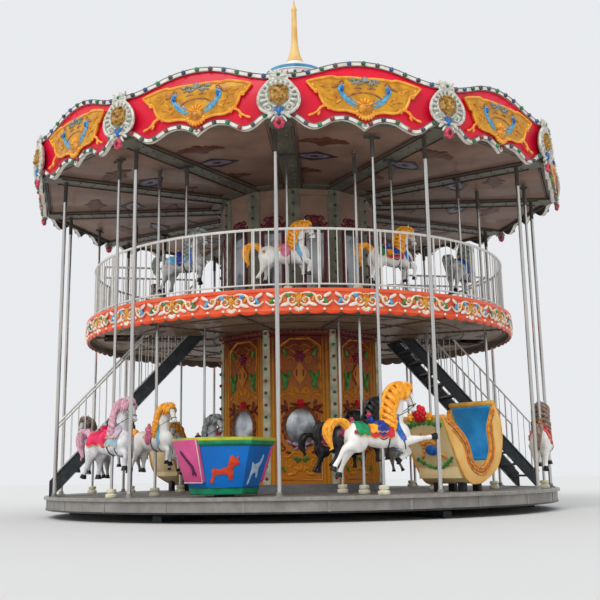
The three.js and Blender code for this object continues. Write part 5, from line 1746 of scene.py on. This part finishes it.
def makeCarriages():
    keel, inside, opening = smoothRun(hullKeel, 5), smoothRun(hullInside, 5), smoothRun(hullOpening, 5)
    half, board = hull["half"], hull["board"]
    side = cutBoard([keel + opening], board, 0.008)
    shell = cutBoard([keel + inside], 2 * half - 0.07, 0.004)
    kit = [("hullSide", [(side, movedBy(0, board - half, 0)), (side, movedBy(0, half, 0))]),
           ("hullCream", [(shell, movedBy(0, half - 0.035, 0)),
                          boxMesh((-0.4, 0.038 - half, 0.2), (-0.135, half - 0.038, 0.4), 0.01),
                          boxMesh((0.295, 0.038 - half, 0.3), (0.54, half - 0.038, 0.47), 0.01)])]
    shadeLine, bright, lobes = [], [], []
    innerRun, widerRun = offsetRun(opening, 0.062), offsetRun(opening, 0.1)
    for y in (-half - 0.002, half + 0.002):
        bright.append(rodAlong(runAt(opening, y), 0.024, 8))
        shadeLine.append(rodAlong(runAt(innerRun, y), 0.012, 6))
        bright.append(rodAlong(runAt(widerRun[3:-3], y), 0.016, 8))
        for i in range(2, len(innerRun) - 2, 2):
            along = (innerRun[i + 1] - innerRun[i]).normalized()
            turn = turnedBy(-math.atan2(along.y, along.x) - 0.5, "Y")
            middle = innerRun[i].lerp(opening[i], 0.45)
            lobes.append(ellipsoid((middle.x, y, middle.y), (0.036, 0.016, 0.018), 2, turn))
    for end, way in ((opening[0], 1), (opening[-1], -1)):
        for y in (-half - 0.004, half + 0.004):
            curl = scroll(0, 0, 90, way * 1.3, 0.06, 0.016, 0.026)
            lobes.append((curl, movedBy(end.x + way * 0.045, y, end.y + 0.01)))
    kit += [("scrollOrange", bright + lobes), ("carvedBrown", shadeLine)]
    rims = [rodAlong(runAt(keel, y), 0.016, 8) for y in (0.006 - half, half - 0.006)]
    for spot in (keel[0].lerp(inside[-1], 0.5), keel[-1].lerp(inside[0], 0.5)):
        rims.append(rodAlong([(spot.x, -half, spot.y), (spot.x, half, spot.y)], 0.045, 12))
    kit.append(("hullGold", rims))
    pads = []
    for inner, outer in hullPads:
        pad = cutBoard([smoothRun(inner, 4) + smoothRun(outer, 4)], 2 * half - 0.1, 0.012)
        pads.append((pad, movedBy(0, half - 0.05, 0)))
    pads += [boxMesh((-0.385, 0.045 - half, 0.395), (-0.125, half - 0.045, 0.445), 0.018),
             boxMesh((0.285, 0.045 - half, 0.465), (0.53, half - 0.045, 0.515), 0.018)]
    kit.append(("seatCyan", pads))
    feet = []
    for low, high, top in ((-0.18, -0.09, 0.17), (0.18, 0.27, 0.22)):
        for y in (-0.24, 0.24):
            feet.append(boxMesh((low, y - 0.06, 0.001), (high, y + 0.06, top), 0.012))
    kit.append(("strapDark", feet))
    garland = []
    for i in range(15):
        x = -0.33 + 0.66 * i / 14
        garland.append(leaf(x, 0.13 - 0.06 * math.cos(x * 4.7), 50 + 80 * (i % 2), 0.11, 0.055, 0.03))
        garland.append(leaf(x, 0.86 - 0.17 * abs(x / 0.33) ** 1.5 - 0.02, 40 + 100 * (i % 2), 0.1, 0.05,
                            0.028))
    kit.append(("leafGreen", [bendOnto(joinMeshes(garland), keel)]))
    flourish = bothSides([scroll(0.11, 0.36, 0, 1.2, 0.075, 0.018, 0.022),
                          leaf(0.2, 0.31, -30, 0.16, 0.06, 0.026), leaf(0.08, 0.29, -60, 0.14, 0.055, 0.026),
                          leaf(0.2, 0.62, 40, 0.14, 0.055, 0.026)])
    flourish += petals(0, 0.53, 0.15, 180, 360, 9, 0.07, 0.05, 0.028)
    kit.append(("scrollOrange", [bendOnto(joinMeshes(flourish), keel)]))
    kit.append(("featherDeep",
                [bendOnto(joinMeshes([ellipsoid((0, 0, 0.53), (0.125, 0.035, 0.085))]), keel)]))
    rose = []
    for ring, count, reach, size in ((0, 8, 0.085, 0.085), (1, 6, 0.05, 0.07), (2, 1, 0.0, 0.06)):
        for i in range(count):
            turn = math.tau * (i + 0.4 * ring) / count
            rose.append(ellipsoid((reach * math.cos(turn), -0.022 * ring, reach * math.sin(turn)),
                                  (size * 0.62, 0.035, size * 0.62), 2))
    top = keel[0]
    aft = turnedBy(-math.pi / 2)
    kit.append(("roseRed", [(joinMeshes(rose), movedBy(top.x - 0.025, 0, top.y + 0.07) @ aft)]))
    bloom = joinMeshes([ellipsoid((0, 0, 0), (0.04, 0.03, 0.04), 2),
                        *petals(0, 0, 0.045, 0, 300, 6, 0.05, 0.045, 0.02)])
    kit.append(("clothYellow",
                [(bloom, movedBy(top.x - 0.03, y, top.y + 0.02) @ aft) for y in (-0.19, 0.19)]))
    gathered = {}
    for material, parts in kit:
        gathered.setdefault(material, []).extend(parts)
    for material, parts in gathered.items():
        mesh = joinMeshes(parts)
        spots = [turnedTo(angle, hull["circle"]) @ movedBy(0, 0, floorTop) for angle in hullAngles]
        piece = place(joinMeshes([(mesh, spot) for spot in spots]), "carriages_" + material, material)
        if material == "hullCream":
            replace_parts(piece, "carriage_1", "carriage_2")


makeCarriages()
print("carriages ready")


# Stairs: steel channels, nosings on the treads, tube handrails with close balusters
stairs = {"angles": [math.radians(-77.8), math.radians(102.2)], "foot": -4.45, "top": -1.85, "risers": 14,
          "treadHalf": 0.388, "railX": 0.405, "wellX": 0.48, "guardStart": -3.63, "guardEnd": -1.91,
          "spacing": 0.1175, "railHeight": 0.88, "guardBays": 14}
stairs["rise"] = (deckTop - floorTop) / stairs["risers"]
stairs["going"] = (stairs["top"] - stairs["foot"]) / (stairs["risers"] - 1)


def nosing(y, lift=0.0):
    return floorTop + stairs["rise"] + (y - stairs["foot"]) * stairs["rise"] / stairs["going"] + lift


def bothStairs(parts, name, material, smooth=50):
    mesh = joinMeshes(parts)
    return place(joinMeshes([(mesh, turnedTo(angle)) for angle in stairs["angles"]]), name, material,
                 smooth=smooth)


def makeStairRails():
    start, high = stairs["guardStart"], stairs["guardEnd"]
    low, wellX, rise, bays = stairs["foot"] + 0.07, stairs["wellX"], stairs["railHeight"], stairs["guardBays"]
    lowRail, top = deck["lowRail"], deck["railTop"] - 0.02
    tubes, bars = [], []
    for side in (-1, 1):
        x, well = side * stairs["railX"], side * wellX
        tubes.append(rodAlong([(x, low, nosing(low, rise)), (x, high, nosing(high, rise))], 0.017, 12))
        tubes.append(rodAlong([(x, low, nosing(low, 0.06)), (x, high, nosing(high, 0.06))], 0.01, 8))
        count = int((high - low - 0.04) / stairs["spacing"])
        for i in range(count + 1):
            y = low + 0.02 + i * stairs["spacing"]
            width = 0.013 if i % 4 == 0 else 0.0065
            bars.append(rodAlong([(x, y, nosing(y, 0.055)), (x, y, nosing(y, rise - 0.005))], width, 8))
        tubes.append(rodAlong([(well, start, top), (well, high, top)], 0.018, 12))
        tubes.append(rodAlong([(well, start, lowRail), (well, high, lowRail)], 0.012, 8))
        for i in range(bays + 1):
            y = start + (high - 0.02 - start) * i / bays
            post = i in (0, bays)
            foot = deckTop + (0.0005 if post else 0.08)
            bars.append(rodAlong([(well, y, foot), (well, y, top)], 0.015 if post else 0.0075, 8))
        tubes.append(rodAlong([(side * 0.4, high - 0.015, nosing(high, rise)), (well, high - 0.015, top)],
                              0.016, 12))
    for height, width in ((top, 0.018), (lowRail, 0.012)):
        tubes.append(rodAlong([(side * wellX, start, height) for side in (-1, 1)], width, 12))
    for i in range(1, 8):
        x = wellX * (i - 4) / 4
        bars.append(rodAlong([(x, start, deckTop + 0.08), (x, start, top)], 0.0075, 8))
    rails = bothStairs(tubes, "stairTubes", "railWhite", 60)
    bothStairs(bars, "stairBalusters", "railWhite", 60)
    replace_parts(rails, "stair_rail_1", "stair_rail_2")


def makeStairSteel():
    foot, top, wide = stairs["foot"], stairs["top"], stairs["treadHalf"]
    treads, flanges = [], []
    for i in range(1, stairs["risers"]):
        y = foot + (i - 1) * stairs["going"]
        z = floorTop + i * stairs["rise"]
        treads.append(boxMesh((-wide, y - 0.004, z - 0.03), (wide, y + 0.03, z + 0.003), 0.002))
        treads.append(boxMesh((-wide, y + 0.034, z - 0.001), (wide, y + 0.192, z + 0.002), 0.0005))
    for x in (-0.442, 0.42):
        for lift, near, far in ((0.034, foot + 0.01, top - 0.04), (-0.262, foot + 0.06, top)):
            run = flatPoints([(near, nosing(near, lift)), (far, nosing(far, lift)),
                              (far, nosing(far, lift - 0.012)), (near, nosing(near, lift - 0.012))])
            flanges.append((cutBoard([run], 0.022),
                            Matrix(((0, -1, 0, x), (1, 0, 0, 0), (0, 0, 1, 0), (0, 0, 0, 1)))))
    bothStairs(treads, "stairTreads", "treadSteel", 30)
    bothStairs(flanges, "stairFlanges", "stairDark", 30)


makeStairRails()
makeStairSteel()
print("stairs ready")


# Platform: chequer plates with dark joints, a rolled steel edge, seams round the skirt
platform = {"skirt": 4.505, "skirtLow": 0.125, "joints": 24, "rings": [2.55, 3.45]}


def makePlatform():
    rim = [(4.49, 0.0004), (4.505, 0.003), (4.535, 0.003), (4.546, -0.006), (4.546, -0.044), (4.54, -0.05),
           (4.49, -0.052)]
    place(closedRing([(r, floorTop + z) for r, z in rim], 180), "platformEdge", "edgeSteel")
    step = math.tau / platform["joints"]
    low, high, wide = floorTop + 0.0003, floorTop + 0.0022, 0.004
    joint = boxMesh((-wide, -4.485, low), (wide, -1.62, high))
    aroundAxis(joint, "floorJoints", "strapDark", platform["joints"], cornerAngle(0.25), step, smooth=None)
    rings = [closedRing([(r - wide, low), (r - wide, high), (r + wide, high), (r + wide, low)], 144)
             for r in platform["rings"]]
    place(joinMeshes(rings), "floorRings", "strapDark", smooth=None)
    reach, foot = platform["skirt"], platform["skirtLow"]
    seam = boxMesh((-0.018, -reach - 0.004, foot + 0.004), (0.018, -reach + 0.006, floorTop - 0.055), 0.002)
    studs = [ellipsoid((x, -reach - 0.003, z), (0.006, 0.004, 0.006), 1)
             for x in (-0.009, 0.009) for z in (0.15, 0.21, 0.27)]
    aroundAxis(joinMeshes([seam, *studs]), "skirtSeams", "edgeSteel", platform["joints"], cornerAngle(0.25),
               step)
    lip = [(0.0005, 0.001), (0.007, 0.003), (0.007, 0.022), (0.0005, 0.026)]
    place(closedRing([(reach + out, foot + z) for out, z in lip], 180), "skirtLip", "strapDark")


makePlatform()


# Fittings on the uprights: floor flanges, and under the beams dark bands with collars, painted shade and
# painted reflection of the dark ceiling on the polished poles
upright = {"circle": 4.47, "turn": math.radians(-1.2), "sleeve": 0.34}


def makeFittings():
    flange = turnedProfile([(0.0315, 0.0006), (0.078, 0.0006), (0.078, 0.009), (0.044, 0.014), (0.04, 0.06),
                            (0.0315, 0.062)], 24)
    turns = [math.tau * (i + 0.5) / 4 for i in range(4)]
    bolts = [ellipsoid((0.062 * math.cos(a), 0.062 * math.sin(a), 0.012), (0.009, 0.009, 0.007), 2)
             for a in turns]
    foot = joinMeshes([flange, *bolts])
    foot.transform(movedBy(0, -upright["circle"], floorTop))
    first = cornerAngle(0) + upright["turn"]
    aroundAxis(foot, "uprightFeet", "edgeSteel", first=first)

    # A dark band with a collar under a beam: painted shade and painted reflection of the dark ceiling on
    # polished steel
    def sleeve(inner, outer):
        low, top = ceilingHeight - upright["sleeve"], ceilingHeight
        return closedRing([(inner, low), (outer, low), (outer, low + 0.01), (outer - 0.002, low + 0.012),
                           (outer - 0.002, top - 0.02), (outer + 0.012, top - 0.012),
                           (outer + 0.012, top - 0.002), (inner, top - 0.002)], 20)

    uprightBand = sleeve(0.0313, 0.0365)
    uprightBand.transform(movedBy(0, -upright["circle"], 0))
    aroundAxis(uprightBand, "uprightSleeves", "sleeveDark", first=first)
    poleBand = sleeve(0.0295, 0.0355)
    spots = [turnedTo(angle, poleReach[row]) for row in ("outer", "middle") for angle in horseAngles]
    spots += [turnedTo(angle, poleReach["upper"]) for angle in upperAngles]
    place(joinMeshes([(poleBand, spot) for spot in spots]), "guideSleeves", "sleeveDark")


makeFittings()
print("platform and fittings ready")


for name, obj in frame["nodes"].items():
    slot = next(s["material_slot"] for s in frame["record"]["subparts"] if s["node"] == name)
    finish = {"pole_steel": "steel", "rail_paint": "railWhite", "floor_plate": "deckPlate",
              "roof_skin": "roofRed", "stair_paint": "stairDark", "base_steel": "baseSteel",
              "ceiling_panel": "underside"}.get(slot, "trimWhite")
    if name == "canopy":
        finish = "ceilingBeam"
    obj.data.materials.clear()
    obj.data.materials.append(materials[finish])
